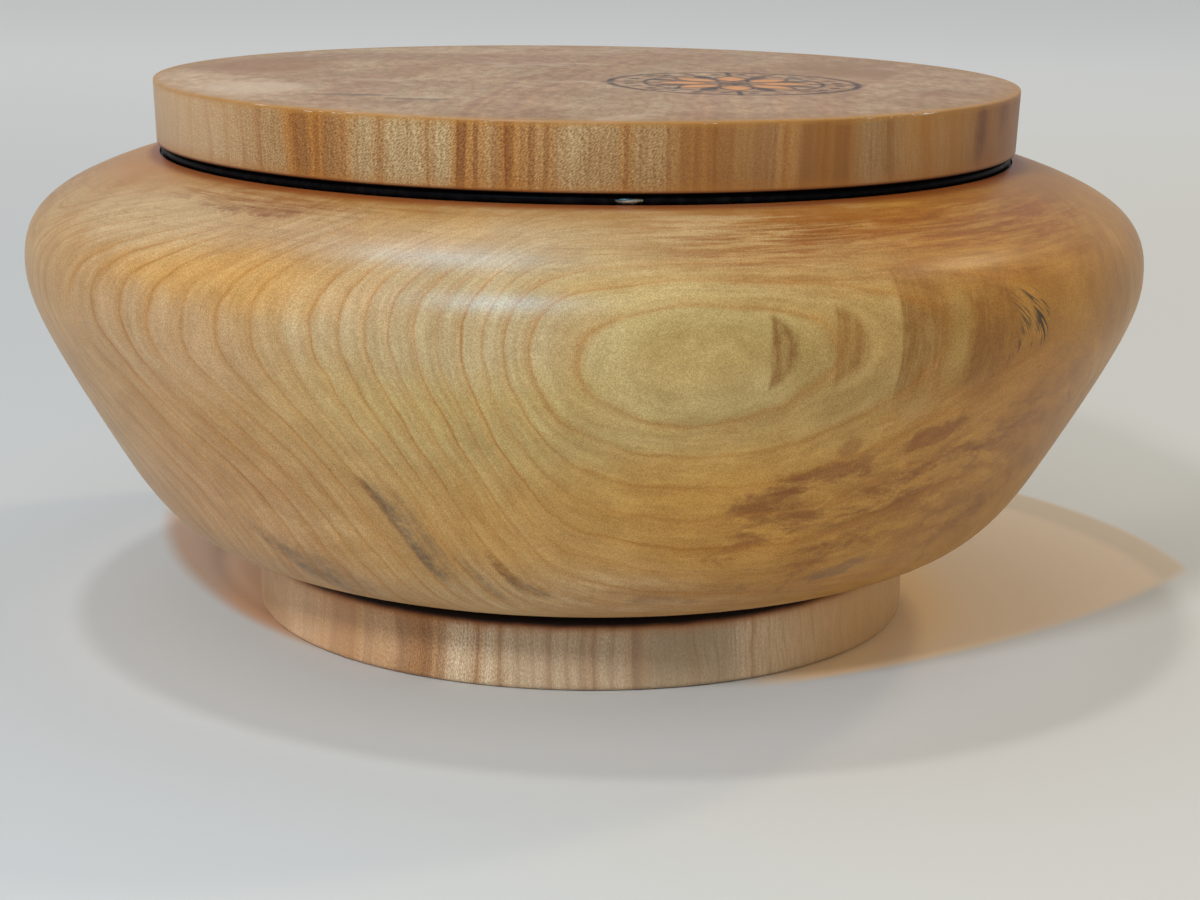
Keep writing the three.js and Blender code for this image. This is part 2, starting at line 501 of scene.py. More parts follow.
class Effects:
    """The effects that several finishes share, each built once."""

    def __init__(self) -> None:
        """Builds the groups."""
        self.turned_place = self._turned_place()
        self.year_rings = self._year_rings()
        self.silk = self._silk()
        self.stain = self._stain()
        self.tool_marks = self._tool_marks()

    @staticmethod
    def _turned_place() -> bpy.types.NodeTree:
        """The azimuth of a point in degrees, its radius, and a seamless way round the axis."""
        outputs = {"Azimuth": "value", "Radius": "value", "Round": "vector"}
        make = Effect("turned_place", {"Place": "vector"}, outputs)
        w = make.wiring
        x, y, _ = w.split(make.inputs["Place"])
        azimuth = w.math("DEGREES", w.math("ARCTAN2", x, y * -1.0))
        radius = w.math("SQRT", x * x + y * y)
        per_degree = w.math("DIVIDE", math.degrees(1.0), radius.math("MAXIMUM", 1.0))
        way_round = w.join(x * per_degree, y * per_degree)
        return make.give(Azimuth=azimuth, Radius=radius, Round=way_round)

    @staticmethod
    def _year_rings() -> bpy.types.NodeTree:
        """Growth rings from the depth in the tree: a dark line, a tone and a chance value."""
        inputs = dict.fromkeys(("Depth", "Spacing", "Offset", "Line Share"), "value")
        make = Effect("year_rings", inputs, dict.fromkeys(("Line", "Tone", "Year"), "value"))
        w = make.wiring
        share = make.inputs["Line Share"]
        count = make.inputs["Depth"] / make.inputs["Spacing"] - make.inputs["Offset"]
        part = count - count.math("FLOOR")
        near = (part - 0.5).math("ABSOLUTE") * 2.0
        start = 1.0 - share
        line = w.math("MAXIMUM", (near - start) / share, 0.0)
        chance = w.node("ShaderNodeTexWhiteNoise", noise_dimensions="1D")
        w.fill(chance, W=count.math("ROUND"))
        year = Signal(w, chance.outputs["Value"])
        return make.give(Line=line.math("POWER", 1.5), Tone=part, Year=year)

    @staticmethod
    def _silk() -> bpy.types.NodeTree:
        """The fine silky fleck of close-grained wood, with the height that goes with it."""
        inputs = {"Place": "vector", "Fineness": "value"}
        make = Effect("silk", inputs, {"Fleck": "value", "Height": "value"})
        w = make.wiring
        place = w.scaled(make.inputs["Place"], make.inputs["Fineness"])
        fine = w.noise(place, 4.4, 1.0, 0.5, 0.4)
        broad = w.noise(place, 1.2, 1.0, 0.5, stretch=(0.7, 0.7, 1.4))
        fleck = fine * 0.9 + broad * 0.1
        return make.give(Fleck=fleck.rise(0.36, 0.64), Height=fine)

    @staticmethod
    def _stain() -> bpy.types.NodeTree:
        """A soft-edged oval patch on a flat or unrolled surface."""
        inputs = dict.fromkeys(("Spot", "Centre", "Half Size"), "vector")
        inputs |= dict.fromkeys(("Turn", "Softness"), "value")
        make = Effect("stain", inputs, {"Mask": "value"})
        w = make.wiring
        away = w.aim("SUBTRACT", make.inputs["Spot"], make.inputs["Centre"])
        turned = w.turned(away, w.math("RADIANS", make.inputs["Turn"] * -1.0))
        reach = w.aim("LENGTH", w.aim("DIVIDE", turned, make.inputs["Half Size"]))
        fade = (1.0 - reach) / make.inputs["Softness"]
        return make.give(Mask=(fade + 0.5).rise(0.0, 1.0))

    @staticmethod
    def _tool_marks() -> bpy.types.NodeTree:
        """Very fine rings that turning and sanding leave round the axis."""
        make = Effect("tool_marks", {"Radius": "value", "Level": "value"}, {"Height": "value"})
        line = make.wiring.join(make.inputs["Radius"], make.inputs["Level"])
        return make.give(Height=make.wiring.noise(line, 2.4, 3.0, 0.7))

    def patch(
        self, w: Wiring, spot: Signal, centre: Point, half: Point, turn: float, soft: float
    ) -> Signal:
        """Places a stain, by its centre, half sizes and turn in degrees, and gives its mask."""
        sizes = {"Centre": (*centre, 0.0), "Half_Size": (*half, 1.0)}
        return w.effect(self.stain, Spot=spot, **sizes, Turn=turn, Softness=soft)["Mask"]


@dataclass(frozen=True)
class Gloss:
    """How a surface shines: the same all over it, and set on the shader itself."""

    roughness: float
    coat: float = 0.0
    coat_roughness: float = 0.2
    metallic: float = 0.0
    specular: float = 0.5


class Coat:
    """A colour that is built up in layers."""

    def __init__(self, wiring: Wiring, ground: Signal | Colour) -> None:
        """Starts with the ground colour."""
        self.wiring = wiring
        self.colour = ground

    def lay(self, over: Signal | Colour, share: Signal | float, blend: Blend = Blend.COVER) -> None:
        """Lays one more colour over what is there, as far as its share goes."""
        made = self.wiring.node(
            "ShaderNodeMix", data_type="RGBA", blend_type=blend.value, clamp_factor=True
        )
        for number, value in ((0, share), (6, self.colour), (7, over)):
            self.wiring.feed(made.inputs[number], value)
        self.colour = Signal(self.wiring, made.outputs[2])

    def shade(self, amount: Signal) -> None:
        """Multiplies what is there by a value, and warms what gets darker."""
        green, blue = amount.math("POWER", 1.3), amount.math("POWER", 1.75)
        self.lay(self.wiring.join(amount, green, blue), 1.0, Blend.DARKEN)


# The full depth in metres of the relief on the wood, and how much of it shows.
RELIEF_DEPTH = 0.00014
RELIEF_STRENGTH = 0.5


class Finish(Coat):
    """A material with a Principled shader, whose colour is built up in layers."""

    def __init__(self, name: str, gloss: Gloss, ground: Colour) -> None:
        """Makes the material, with the colour that lies under all its layers."""
        self.made = bpy.data.materials.new(name)
        self.made.use_nodes = True
        self.made.node_tree.nodes.clear()
        w = Wiring(self.made.node_tree)
        super().__init__(w, ground)
        self.shader = w.fill(
            w.node("ShaderNodeBsdfPrincipled"),
            Roughness=gloss.roughness,
            Metallic=gloss.metallic,
            Specular_IOR_Level=gloss.specular,
            Coat_Weight=gloss.coat,
            Coat_Roughness=gloss.coat_roughness,
        )
        end = w.node("ShaderNodeOutputMaterial")
        w.tree.links.new(self.shader.outputs[0], end.inputs["Surface"])
        self.place = w.place()

    def raise_by(
        self, height: Signal, depth: float = RELIEF_DEPTH, strength: float = RELIEF_STRENGTH
    ) -> None:
        """Gives the surface its fine relief, by its full depth in metres and its strength."""
        bump = self.wiring.node("ShaderNodeBump")
        self.wiring.fill(bump, Distance=depth, Strength=strength, Height=height)
        self.wiring.fill(self.shader, Normal=Signal(self.wiring, bump.outputs["Normal"]))

    def material(self) -> bpy.types.Material:
        """Links the colour and hands over the material."""
        self.wiring.fill(self.shader, Base_Color=self.colour)
        return self.made


class Flow(Enum):
    """Which way the streaks inside a stain run."""

    NONE = "none"
    RINGS = "along the growth rings"
    ROUND = "round the turning axis"
    UPRIGHT = "up and down"


@dataclass(frozen=True)
class Stain:
    """A patch of other colour: degrees and millimetres on the bowl, or millimetres on a flat.

    It may be turned, streaked along a flow, ragged at its edge, and cut off at an azimuth.
    """

    centre: Point
    half: Point
    share: float
    colour: Colour
    soft: float = 0.6
    flow: Flow = Flow.NONE
    turn: float = 0.0
    ragged: bool = True
    cut: float | None = None


@dataclass(frozen=True)
class RingStreak:
    """A thin dark streak along the growth rings, by its depth in the tree and its level."""

    azimuth: float
    centre: Point
    half: Point
    share: float
    colour: Colour
    lean: float = 0.0


@dataclass(frozen=True)
class Streak:
    """A dark streak through sawn wood, by its place across the grain in millimetres."""

    at: float
    half: float
    share: float


# The millimetres that a degree round the bowl stands for, and the middle of a noise's colour.
DEGREE_REACH = 1.8
HALVES = (0.5, 0.5, 0.5)


def rgb(red: float, green: float, blue: float) -> Colour:
    """A plain opaque colour, in linear light."""
    return (red, green, blue, 1.0)


HONEY = rgb(0.455, 0.29, 0.125)
TAN = rgb(0.405, 0.23, 0.085)
ROSE_TAN = rgb(0.44, 0.25, 0.105)
STRAW = rgb(0.43, 0.31, 0.115)
AMBER = rgb(0.52, 0.28, 0.07)
AMBER_BROWN = rgb(0.36, 0.158, 0.02)
BROWN = rgb(0.20, 0.085, 0.014)
RUSSET = rgb(0.24, 0.068, 0.004)
PLUM_BROWN = rgb(0.20, 0.068, 0.016)
GREY_BROWN = rgb(0.20, 0.135, 0.075)
ASH = rgb(0.14, 0.09, 0.05)
CREAM = rgb(0.52, 0.375, 0.20)
RING_LINE = rgb(0.34, 0.135, 0.018)
# Near black: the rosette's burned lines, and painted shade in the groove, the foot joint and under
# the lid.
BURN_AND_SHADE_BLACK = rgb(0.008, 0.006, 0.005)
# Painted shade: the dark red of the foot's top just under the bowl.
JOINT_SHADE_RED = rgb(0.22, 0.06, 0.01)
INK = rgb(0.065, 0.038, 0.016)


def smear(centre: Point, half: Point, share: float, soft: float, turn: float = 0.0) -> Stain:
    """A plum-brown patch whose streaks follow the growth rings."""
    return Stain(centre, half, share, PLUM_BROWN, soft, Flow.RINGS, turn)


def upright(
    centre: Point, half: Point, share: float, colour: Colour, soft: float, cut: float | None = None
) -> Stain:
    """A patch with upright streaks and a calm edge."""
    return Stain(centre, half, share, colour, soft, Flow.UPRIGHT, 0.0, False, cut)


# The patches seen on the front of the bowl, and a few like them at the back, in the order in
# which they are laid: from broad and faint to small and strong.
BOWL_STAINS = (
    Stain((-48, 62), (26, 40), 0.35, ROSE_TAN, 1.2),
    Stain((-50, 30), (26, 14), 0.5, rgb(0.46, 0.27, 0.13), 1.0),
    Stain((2, 63), (28, 24), 0.85, STRAW, 1.0),
    Stain((10.5, 69.5), (13, 12), 0.55, rgb(0.42, 0.32, 0.13), 0.7),
    Stain((6, 40), (26, 11), 0.55, rgb(0.45, 0.235, 0.05), 1.0),
    Stain((-33, 79.5), (15, 5), 0.65, AMBER, 0.9),
    Stain((-20, 33), (12, 7), 0.35, rgb(0.44, 0.245, 0.065), 0.9),
    Stain((-50, 86), (13, 4.5), 0.6, CREAM, 0.8),
    Stain((-28, 34), (9, 5), 0.35, CREAM, 0.9, Flow.RINGS),
    Stain((0, 24), (16, 4), 0.4, CREAM, 0.9, Flow.RINGS),
    Stain((0, 90), (22, 2.5), 0.4, CREAM, 1.0),
    Stain((-17, 88), (8, 2.6), 0.45, AMBER, 0.9),
    Stain((-41, 68), (14, 9), 0.4, rgb(0.45, 0.32, 0.19), 1.0),
    # Painted sheen: a greyer, cooler patch under the lamps' highlight on the left shoulder.
    Stain((-13, 75), (13, 9), 0.45, rgb(0.41, 0.325, 0.215), 1.0),
    Stain((43, 85), (27, 6.0), 0.5, AMBER_BROWN, 0.8),
    Stain((36, 86), (27, 6.5), 0.6, RUSSET, 0.7, Flow.ROUND),
    Stain((-40, 90.0), (12, 1.6), 0.85, rgb(0.21, 0.08, 0.03), 0.7, Flow.ROUND),
    Stain((-22, 90.3), (9, 1.2), 0.5, BROWN, 0.8, Flow.ROUND),
    Stain((38, 88.6), (30, 3.4), 0.75, RUSSET, 0.9, Flow.ROUND),
    # Painted sheen: a golden patch where the rear-right lamp also shines.
    Stain((34, 79.5), (7, 2.4), 0.5, AMBER, 0.8, Flow.ROUND),
    Stain((26, 43), (22, 15), 0.6, rgb(0.49, 0.25, 0.042), 0.9),
    Stain((42, 50), (15, 11), 0.5, rgb(0.40, 0.19, 0.04), 1.0),
    smear((38, 41), (24, 12), 0.45, 0.8),
    smear((18.5, 44.5), (4.2, 3.2), 0.75, 0.45, 25.0),
    smear((20.5, 38.5), (5.2, 3.6), 0.7, 0.5, 10.0),
    smear((16.5, 33.0), (3.2, 1.5), 0.65, 0.5, 15.0),
    smear((25.0, 48.0), (7.5, 2.2), 0.7, 0.4, 12.0),
    Stain((35.5, 53.5), (3.6, 2.2), 0.7, PLUM_BROWN, 0.5, turn=18.0),
    smear((44.5, 53.0), (5.5, 4.5), 0.6, 0.6, 8.0),
    smear((37.0, 43.5), (10, 5.0), 0.7, 0.6, 14.0),
    smear((28.5, 31.0), (7, 3.4), 0.65, 0.5, 10.0),
    Stain((31.0, 26.5), (4, 1.5), 0.6, rgb(0.19, 0.10, 0.05), 0.6, turn=12.0),
    smear((12.0, 24.0), (10, 2.2), 0.5, 0.6),
    smear((54, 56), (7, 7), 0.45, 0.6, 8.0),
    smear((50, 34), (10, 3), 0.5, 0.5, 20.0),
    Stain((40, 60), (14, 6), 0.75, rgb(0.38, 0.165, 0.03), 0.9, Flow.RINGS, 12.0),
    Stain((13, 74), (7, 6), 0.4, rgb(0.36, 0.25, 0.075), 0.9),
    Stain((-118, 66), (26, 18), 0.45, ROSE_TAN, 1.0),
    smear((-140, 40), (22, 10), 0.5, 0.8),
    Stain((-98, 84), (20, 6), 0.5, RUSSET, 0.9, Flow.ROUND),
    smear((112, 50), (24, 16), 0.5, 0.8),
    Stain((146, 80), (22, 8), 0.6, RUSSET, 0.8, Flow.ROUND),
    Stain((150, 52), (16, 18), 0.4, AMBER, 1.0),
    Stain((25.6, 53.0), (1.3, 2.0), 0.55, PLUM_BROWN, 0.7, turn=35.0, ragged=False),
    Stain((24.0, 69.5), (7.5, 14), 0.65, rgb(0.36, 0.225, 0.065), 0.9),
    upright((13.0, 71.5), (5.2, 7.5), 0.9, rgb(0.20, 0.09, 0.02), 0.18, 15.9),
    upright((19.6, 71.8), (5.3, 7.6), 0.8, rgb(0.23, 0.105, 0.022), 0.28, 21.8),
    upright((29.5, 72.0), (8.4, 10.5), 0.8, rgb(0.20, 0.08, 0.012), 0.9, 28.3),
    upright((34.6, 71.0), (1.5, 9), 0.65, rgb(0.37, 0.235, 0.065), 0.9),
    upright((39.3, 70.0), (3.4, 11), 0.6, rgb(0.20, 0.075, 0.012), 0.5),
    upright((62, 74), (4.0, 9), 0.3, rgb(0.20, 0.085, 0.024), 0.5),
)

# The thin dark streaks of the bowl's lower left, with the soft grey beside them.
RING_STREAKS = (
    RingStreak(-20, (34.0, 43.0), (0.7, 3.6), 0.9, rgb(0.13, 0.07, 0.03)),
    RingStreak(-19, (34.6, 37.0), (0.9, 7.0), 0.75, rgb(0.15, 0.09, 0.045)),
    RingStreak(-18, (36.0, 36.0), (2.8, 9.5), 0.6, GREY_BROWN),
    RingStreak(-16, (35.0, 30.0), (1.0, 4.5), 0.7, ASH),
    RingStreak(-8.0, (45.4, 29.5), (0.9, 3.2), 0.9, rgb(0.15, 0.065, 0.025)),
    RingStreak(-6.4, (45.9, 26.0), (1.3, 2.4), 0.6, ASH),
    RingStreak(-12, (40.5, 27.0), (1.2, 5.0), 0.45, ASH),
    RingStreak(-36, (17.2, 26.0), (1.3, 7.0), 0.7, ASH, 25.0),
    RingStreak(-34, (19.8, 24.0), (2.6, 6.6), 0.55, GREY_BROWN, 25.0),
)


@dataclass(frozen=True)
class Layers:
    """How the growth layers of the bowl's block lie: round a bent heart, and flatter to the left.

    At the back they go over into a bowed slab.
    """

    heart: Triple = (-7.0, -50.5, 39.0)
    flatten: float = 0.5
    drift: float = -0.68
    bow: float = 0.0076
    fall: float = 0.2
    end: float = 0.6
    ease: float = 12.0
    swell: float = 15.0
    swell_at: Point = (23.0, 30.0)
    swell_reach: float = 62.0
    slab_start: float = -33.0
    slab_lean: Point = (1.06, 0.104)
    slab_bow: Point = (0.01, 0.0039)
    slab_twist: float = 0.0014
    slab_middle: float = 70.0


class FiguredWood(Finish):
    """The bowl's wood: growth rings cut through by the round shape, with stains and smears."""

    def __init__(self, effects: Effects, layers: Layers = Layers()) -> None:
        """Works out the places and patterns that the layers share, and lays them one by one."""
        super().__init__("figured_wood", Gloss(0.42, 0.36, 0.31, specular=0.07), HONEY)
        w = self.wiring
        self.effects = effects
        self.x, self.y, self.z = w.split(self.place)
        turned = w.effect(effects.turned_place, Place=self.place)
        self.azimuth, self.radius, self.way_round = (
            turned[name] for name in ("Azimuth", "Radius", "Round")
        )
        sway = w.aim("SUBTRACT", w.noise(self.place, 0.03, 3.0, 0.55, colour=True), HALVES)
        smooth_depth = self.tree_depth(layers, w.moved(self.place, sway, (3.4, 3.4, 3.4)))
        ripple = w.noise(self.place, 0.3, 2.0, 0.55) - 0.5
        self.depth = smooth_depth + ripple * 0.36
        self.rings = w.effect(
            effects.year_rings, Depth=self.depth, Spacing=3.0, Offset=0.3, Line_Share=0.26
        )
        self.silk = w.effect(effects.silk, Place=self.place, Fineness=1.0)
        self.lay_ground()
        self.lay_stains()
        self.lay_ring_streaks()
        self.lay_ink()
        self.lay_veins()
        self.lay_rings()
        self.lay_grain()
        self.lay_edges()
        w.fill(self.shader, Roughness=self.silk["Fleck"] * 0.1 + 0.36)
        marks = w.effect(effects.tool_marks, Radius=self.radius, Level=self.z)["Height"]
        self.raise_by(self.silk["Height"] * 0.8 + marks * 0.6)

    def tree_depth(self, layers: Layers, place: Signal) -> Signal:
        """How deep in the tree a point lies, in millimetres."""
        w = self.wiring
        x, y, z = w.split(place)
        across = x - layers.heart[0]
        left = w.math("SMOOTH_MAX", across * -1.0, 0.0, layers.ease)
        right = w.math("SMOOTH_MAX", across, 0.0, layers.ease)
        deep = y - layers.heart[1] - (left * layers.drift + left * left * layers.bow)
        up = (z - layers.heart[2]) * layers.flatten - left * layers.fall
        round_heart = w.aim("LENGTH", w.join(deep, up, right * layers.end))
        off_x = (x - layers.swell_at[0]) / layers.swell_reach
        off = w.join(off_x, (z - layers.swell_at[1]) / layers.swell_reach)
        swell = w.math("EXPONENT", w.aim("DOT_PRODUCT", off, off) * -1.0) * layers.swell
        round_heart = round_heart + swell
        rise = z - layers.slab_middle
        along = x * (x * layers.slab_bow[0] + rise * layers.slab_twist + layers.slab_lean[0])
        upward = rise * (rise * layers.slab_bow[1] + layers.slab_lean[1])
        slab = along + upward - y + layers.slab_start
        front = w.math("MAXIMUM", x.rise(-75.0, -25.0), y.rise(-45.0, -5.0))
        return slab + (round_heart - slab) * front

    def woven(self, share: float, up: Signal) -> Signal:
        """A place on the surface for streaks: so much of the way round, and another value."""
        round_part = self.wiring.aim("MULTIPLY", self.way_round, (share, share, 0.0))
        return self.wiring.aim("ADD", round_part, self.wiring.join(0.0, 0.0, up))

    def lay_ground(self) -> None:
        """Lays the broad cloudy tones, and the brown side of the bowl beyond a ragged border."""
        w = self.wiring
        cloud = w.noise(self.place, 0.022, 3.0, 0.55)
        self.lay(TAN, cloud.rise(0.35, 0.65) * 0.8)
        drift = w.noise(self.place, 0.05, 3.0, 0.6, stretch=(0.5, 0.5, 1.6))
        self.lay(ROSE_TAN, drift.rise(0.5, 0.75) * 0.6)
        bands = w.noise(self.woven(0.1, self.z * 0.07), 0.5, 5.0, 0.62, fourth=self.depth * 0.7)
        self.lay(CREAM, bands.rise(0.52, 0.7) * 0.7)
        self.lay(rgb(0.36, 0.18, 0.045), bands.rise(0.48, 0.32) * 0.6)

        unrolled = w.join(self.azimuth * DEGREE_REACH, self.z)
        rough = w.aim("SUBTRACT", w.noise(self.place, 0.16, 5.0, 0.7, colour=True), HALVES)
        self.ragged = w.moved(unrolled, rough, (9.0, 7.0, 0.0))
        self.calm = w.moved(unrolled, rough, (2.0, 2.0, 0.0))
        self.wander = w.split(rough)[0]
        border = w.spread(self.z, 24.0, 60.0, 9.0, 28.0)
        beyond = self.azimuth - border + self.wander * 18.0
        beyond = beyond / w.spread(self.z, 42.0, 62.0, 2.6, 1.0)
        self.brown_side = beyond.rise(-4.0, 8.0) * self.azimuth.rise(110.0, 80.0)
        self.lay(AMBER_BROWN, self.brown_side * w.spread(cloud, 0.3, 0.7, 0.7, 0.95))

    def lay_stains(self) -> None:
        """Lays the stains, each streaked along its flow."""
        w, z = self.wiring, self.z
        place = self.woven(0.4, z * 0.6)
        along_rings = w.noise(place, 0.3, 6.0, 0.74, 0.3, fourth=self.depth * 0.5).rise(0.42, 0.6)
        place = self.woven(0.2, z * 1.4)
        way_round = w.noise(place, 0.42, 6.0, 0.72, 0.3, fourth=self.radius * 1.4).rise(0.4, 0.6)
        place = self.woven(2.0, z * 0.16)
        up_and_down = w.noise(place, 0.7, 4.0, 0.72, 0.2).rise(0.34, 0.6) * 0.5 + 0.5
        flows = {Flow.RINGS: along_rings, Flow.ROUND: way_round, Flow.UPRIGHT: up_and_down}
        self.streaks_round = way_round
        for stain in BOWL_STAINS:
            spot = self.ragged if stain.ragged else self.calm
            centre = (stain.centre[0] * DEGREE_REACH, stain.centre[1])
            half = (stain.half[0] * DEGREE_REACH, stain.half[1])
            mask = self.effects.patch(w, spot, centre, half, stain.turn, stain.soft)
            if stain.flow in flows:
                mask = mask * flows[stain.flow]
            if stain.cut is not None:
                mask = mask * self.azimuth.rise(stain.cut - 0.2, stain.cut + 0.3)
            self.lay(stain.colour, mask * stain.share)

    def lay_ring_streaks(self) -> None:
        """Lays the thin streaks that run along the growth rings."""
        w = self.wiring
        self.patchy = w.noise(self.place, 0.5, 3.0, 0.7)
        for streak in RING_STREAKS:
            spot = w.join(self.depth + self.wander * 1.6, self.z)
            mask = self.effects.patch(w, spot, streak.centre, streak.half, streak.lean, 0.9)
            mask = mask * self.azimuth.within(streak.azimuth, 9.0, 4.0)
            mask = mask * w.spread(self.patchy, 0.35, 0.6, 0.3, 1.0)
            self.lay(streak.colour, mask * streak.share)

    def lay_ink(self) -> None:
        """Lays the two arcs of small dark strokes at the upper right."""
        w, z = self.wiring, self.z
        bend = self.azimuth + (z - 71.5) * (z - 71.5) * 0.045
        strokes = w.noise(w.join(bend * 3.2 + z * 1.1, z * 0.2), 1.0, 1.0, 0.5).rise(0.52, 0.57)
        outer_arc = bend.within(45.7, 0.5, 1.0) * z.within(73.0, 4.5, 2.0)
        inner_arc = bend.within(43.2, 0.3, 0.8) * z.within(72.0, 4.0, 3.0)
        self.lay(INK, strokes * (outer_arc + inner_arc * 0.7))

    def lay_veins(self) -> None:
        """Lays soft brown lines on the lower part of the brown side."""
        w, z = self.wiring, self.z
        wash = w.noise(self.woven(0.12, z * 0.12), 0.3, 3.0, 0.5, 0.2, fourth=self.depth * 0.5)
        line = (wash - 0.5).math("ABSOLUTE").rise(0.016, 0.0)
        vein = line * self.brown_side * z.rise(66.0, 56.0)
        self.lay(rgb(0.22, 0.10, 0.035), vein * w.spread(self.patchy, 0.35, 0.6, 0.1, 0.5))

    def lay_rings(self) -> None:
        """Lays the growth rings, stronger in some years and places than in others."""
        w = self.wiring
        fade = w.noise(self.place, 0.06, 2.0, 0.5)
        strength = w.spread(fade, 0.3, 0.65, 0.45, 1.0) * (self.rings["Year"] * 0.5 + 0.5)
        strength = strength * w.spread(self.z, 82.0, 88.0, 1.0, 0.25)
        late = self.rings["Tone"].rise(0.35, 0.95) * strength
        self.lay(rgb(0.41, 0.19, 0.035), late * 0.36)
        self.lay(RING_LINE, self.rings["Line"] * strength * 0.78)

    def lay_grain(self) -> None:
        """Lays the fine fibres, blotches and silky flecks over everything."""
        w, z = self.wiring, self.z
        fibre = w.noise(self.woven(0.3, z * 0.12), 0.6, 3.0, 0.65, fourth=self.depth * 2.6)
        self.shade(fibre.rise(0.3, 0.7) * 0.18 + 0.91)
        blotch = w.noise(self.place, 0.11, 4.0, 0.6, 0.5)
        self.shade(blotch.rise(0.32, 0.68) * 0.13 + 0.935)
        grain = w.noise(self.woven(0.16, z * 1.4), 0.9, 4.0, 0.7, fourth=self.radius * 1.4)
        self.shade(1.0 - grain.rise(0.5, 0.72) * z.rise(80.0, 86.0) * 0.18)
        self.shade(self.silk["Fleck"] * 0.3 + 0.855)

    def lay_edges(self) -> None:
        """Lays painted shade and a warm glow under the lid's edge, in its groove and at the foot.
        """
        w, z, azimuth, radius = self.wiring, self.z, self.azimuth, self.radius
        # Painted shade: a streaky dark orange-brown band on the seat just under the black ring.
        seat = z.rise(88.4, 91.4) * w.spread(self.streaks_round, 0.0, 1.0, 0.5, 1.0)
        self.lay(rgb(0.36, 0.15, 0.03), seat * 0.6)
        # Painted light at the two ends under the lid's edge: a warm glow at the left, shade at the
        # right.
        around_lid = z.rise(85.0, 91.0)
        left_end_glow = around_lid * azimuth.rise(-42.0, -75.0) * azimuth.rise(-150.0, -110.0)
        self.lay(rgb(0.45, 0.18, 0.035), left_end_glow * 0.55)
        right_end_shade = around_lid * azimuth.rise(46.0, 72.0) * azimuth.rise(140.0, 105.0)
        self.lay(rgb(0.25, 0.095, 0.012), right_end_shade * 0.6)
        # Painted shade: a dark red line on the seat just under the ring.
        self.lay(rgb(0.22, 0.045, 0.006), z.rise(90.9, 91.6) * radius.rise(82.0, 84.0) * 0.85)
        # Painted shade, near black, in the groove under the ring.
        groove_shade = radius.rise(84.3, 83.7) * z.rise(90.0, 91.0)
        self.lay(BURN_AND_SHADE_BLACK, groove_shade * radius.rise(78.5, 80.0))
        # Painted shade, near black, where the bowl's underside meets the foot.
        foot_joint_shade = radius.rise(69.5, 65.0) * z.rise(20.0, 15.5)
        self.lay(BURN_AND_SHADE_BLACK, foot_joint_shade * 0.97)


@dataclass(frozen=True)
class Grain:
    """The look of a sawn board: its tones, its streaks across the grain and its ripples.

    Lengths are in millimetres and the lean of the ripples in degrees. Above the flat level the
    wood shows plain fibres.
    """

    pale: Colour
    deep: Colour
    line: Colour
    glow: Colour
    rear_bend: float
    spacing: float
    crinkle: float
    crinkle_lean: float
    flat_level: float
    streaks: tuple[Streak, ...]


FOOT_GRAIN = Grain(
    pale=rgb(0.62, 0.465, 0.30),
    deep=rgb(0.52, 0.375, 0.225),
    line=rgb(0.17, 0.065, 0.02),
    glow=rgb(0.42, 0.20, 0.07),
    rear_bend=18.0,
    spacing=3.6,
    crinkle=0.55,
    crinkle_lean=78.0,
    flat_level=99.0,
    streaks=tuple(
        Streak(*row)
        for row in (
            (-58.0, 0.8, 0.35), (-53.5, 0.6, 0.35), (-49.0, 0.9, 0.3), (-43.2, 2.4, 0.75),
            (-40.6, 0.8, 0.7), (-37.2, 1.0, 0.5), (-31.0, 2.6, 0.8), (-28.2, 1.3, 0.75),
            (-25.5, 0.6, 0.5), (-19.2, 0.4, 0.7), (-14.6, 0.4, 0.7), (-11.1, 0.4, 0.4),
            (-8.2, 0.4, 0.4), (-5.1, 0.5, 0.65), (-1.6, 0.4, 0.4), (1.6, 0.6, 0.6),
            (3.8, 0.4, 0.8), (7.4, 0.4, 0.3), (11.9, 0.9, 0.85), (21.0, 0.4, 0.25),
            (33.0, 0.5, 0.2),
        )
    ),
)

LID_GRAIN = Grain(
    pale=rgb(0.39, 0.265, 0.130),
    deep=rgb(0.325, 0.19, 0.076),
    line=rgb(0.16, 0.046, 0.008),
    glow=rgb(0.37, 0.155, 0.03),
    rear_bend=-14.0,
    spacing=4.4,
    crinkle=0.75,
    crinkle_lean=38.0,
    flat_level=105.4,
    streaks=tuple(
        Streak(*row)
        for row in (
            (-74.7, 0.4, 0.3), (-69.8, 0.35, 0.25), (-65.3, 0.4, 0.35), (-61.1, 0.4, 0.3),
            (-57.2, 0.5, 0.5), (-50.4, 0.5, 1.0), (-48.6, 2.0, 0.75), (-46.0, 0.6, 0.95),
            (-43.6, 2.0, 0.55), (-41.5, 0.4, 0.4), (-35.4, 0.4, 0.5), (-27.0, 0.4, 0.45),
            (-21.2, 0.9, 1.0), (-18.7, 0.6, 0.85), (-14.6, 1.9, 0.6), (-13.0, 0.8, 0.95),
            (-10.6, 0.5, 0.5), (-9.2, 0.6, 0.65), (-6.7, 0.5, 0.6), (-5.2, 0.5, 0.35),
            (6.7, 0.4, 0.6), (13.8, 0.5, 0.3), (16.6, 1.0, 0.65), (18.6, 0.8, 0.85),
            (20.9, 0.8, 0.95), (24.2, 0.5, 0.3), (22.8, 2.4, 0.5), (30.0, 2.8, 0.45),
            (33.4, 0.5, 0.6), (38.5, 3.4, 0.75), (40.6, 0.6, 0.8), (43.5, 1.8, 0.8),
            (52.0, 0.7, 0.4), (58.5, 0.8, 0.5), (64.0, 0.7, 0.4), (71.0, 1.2, 0.75),
            (73.8, 1.4, 0.85), (77.0, 1.6, 0.8),
        )
    ),
)


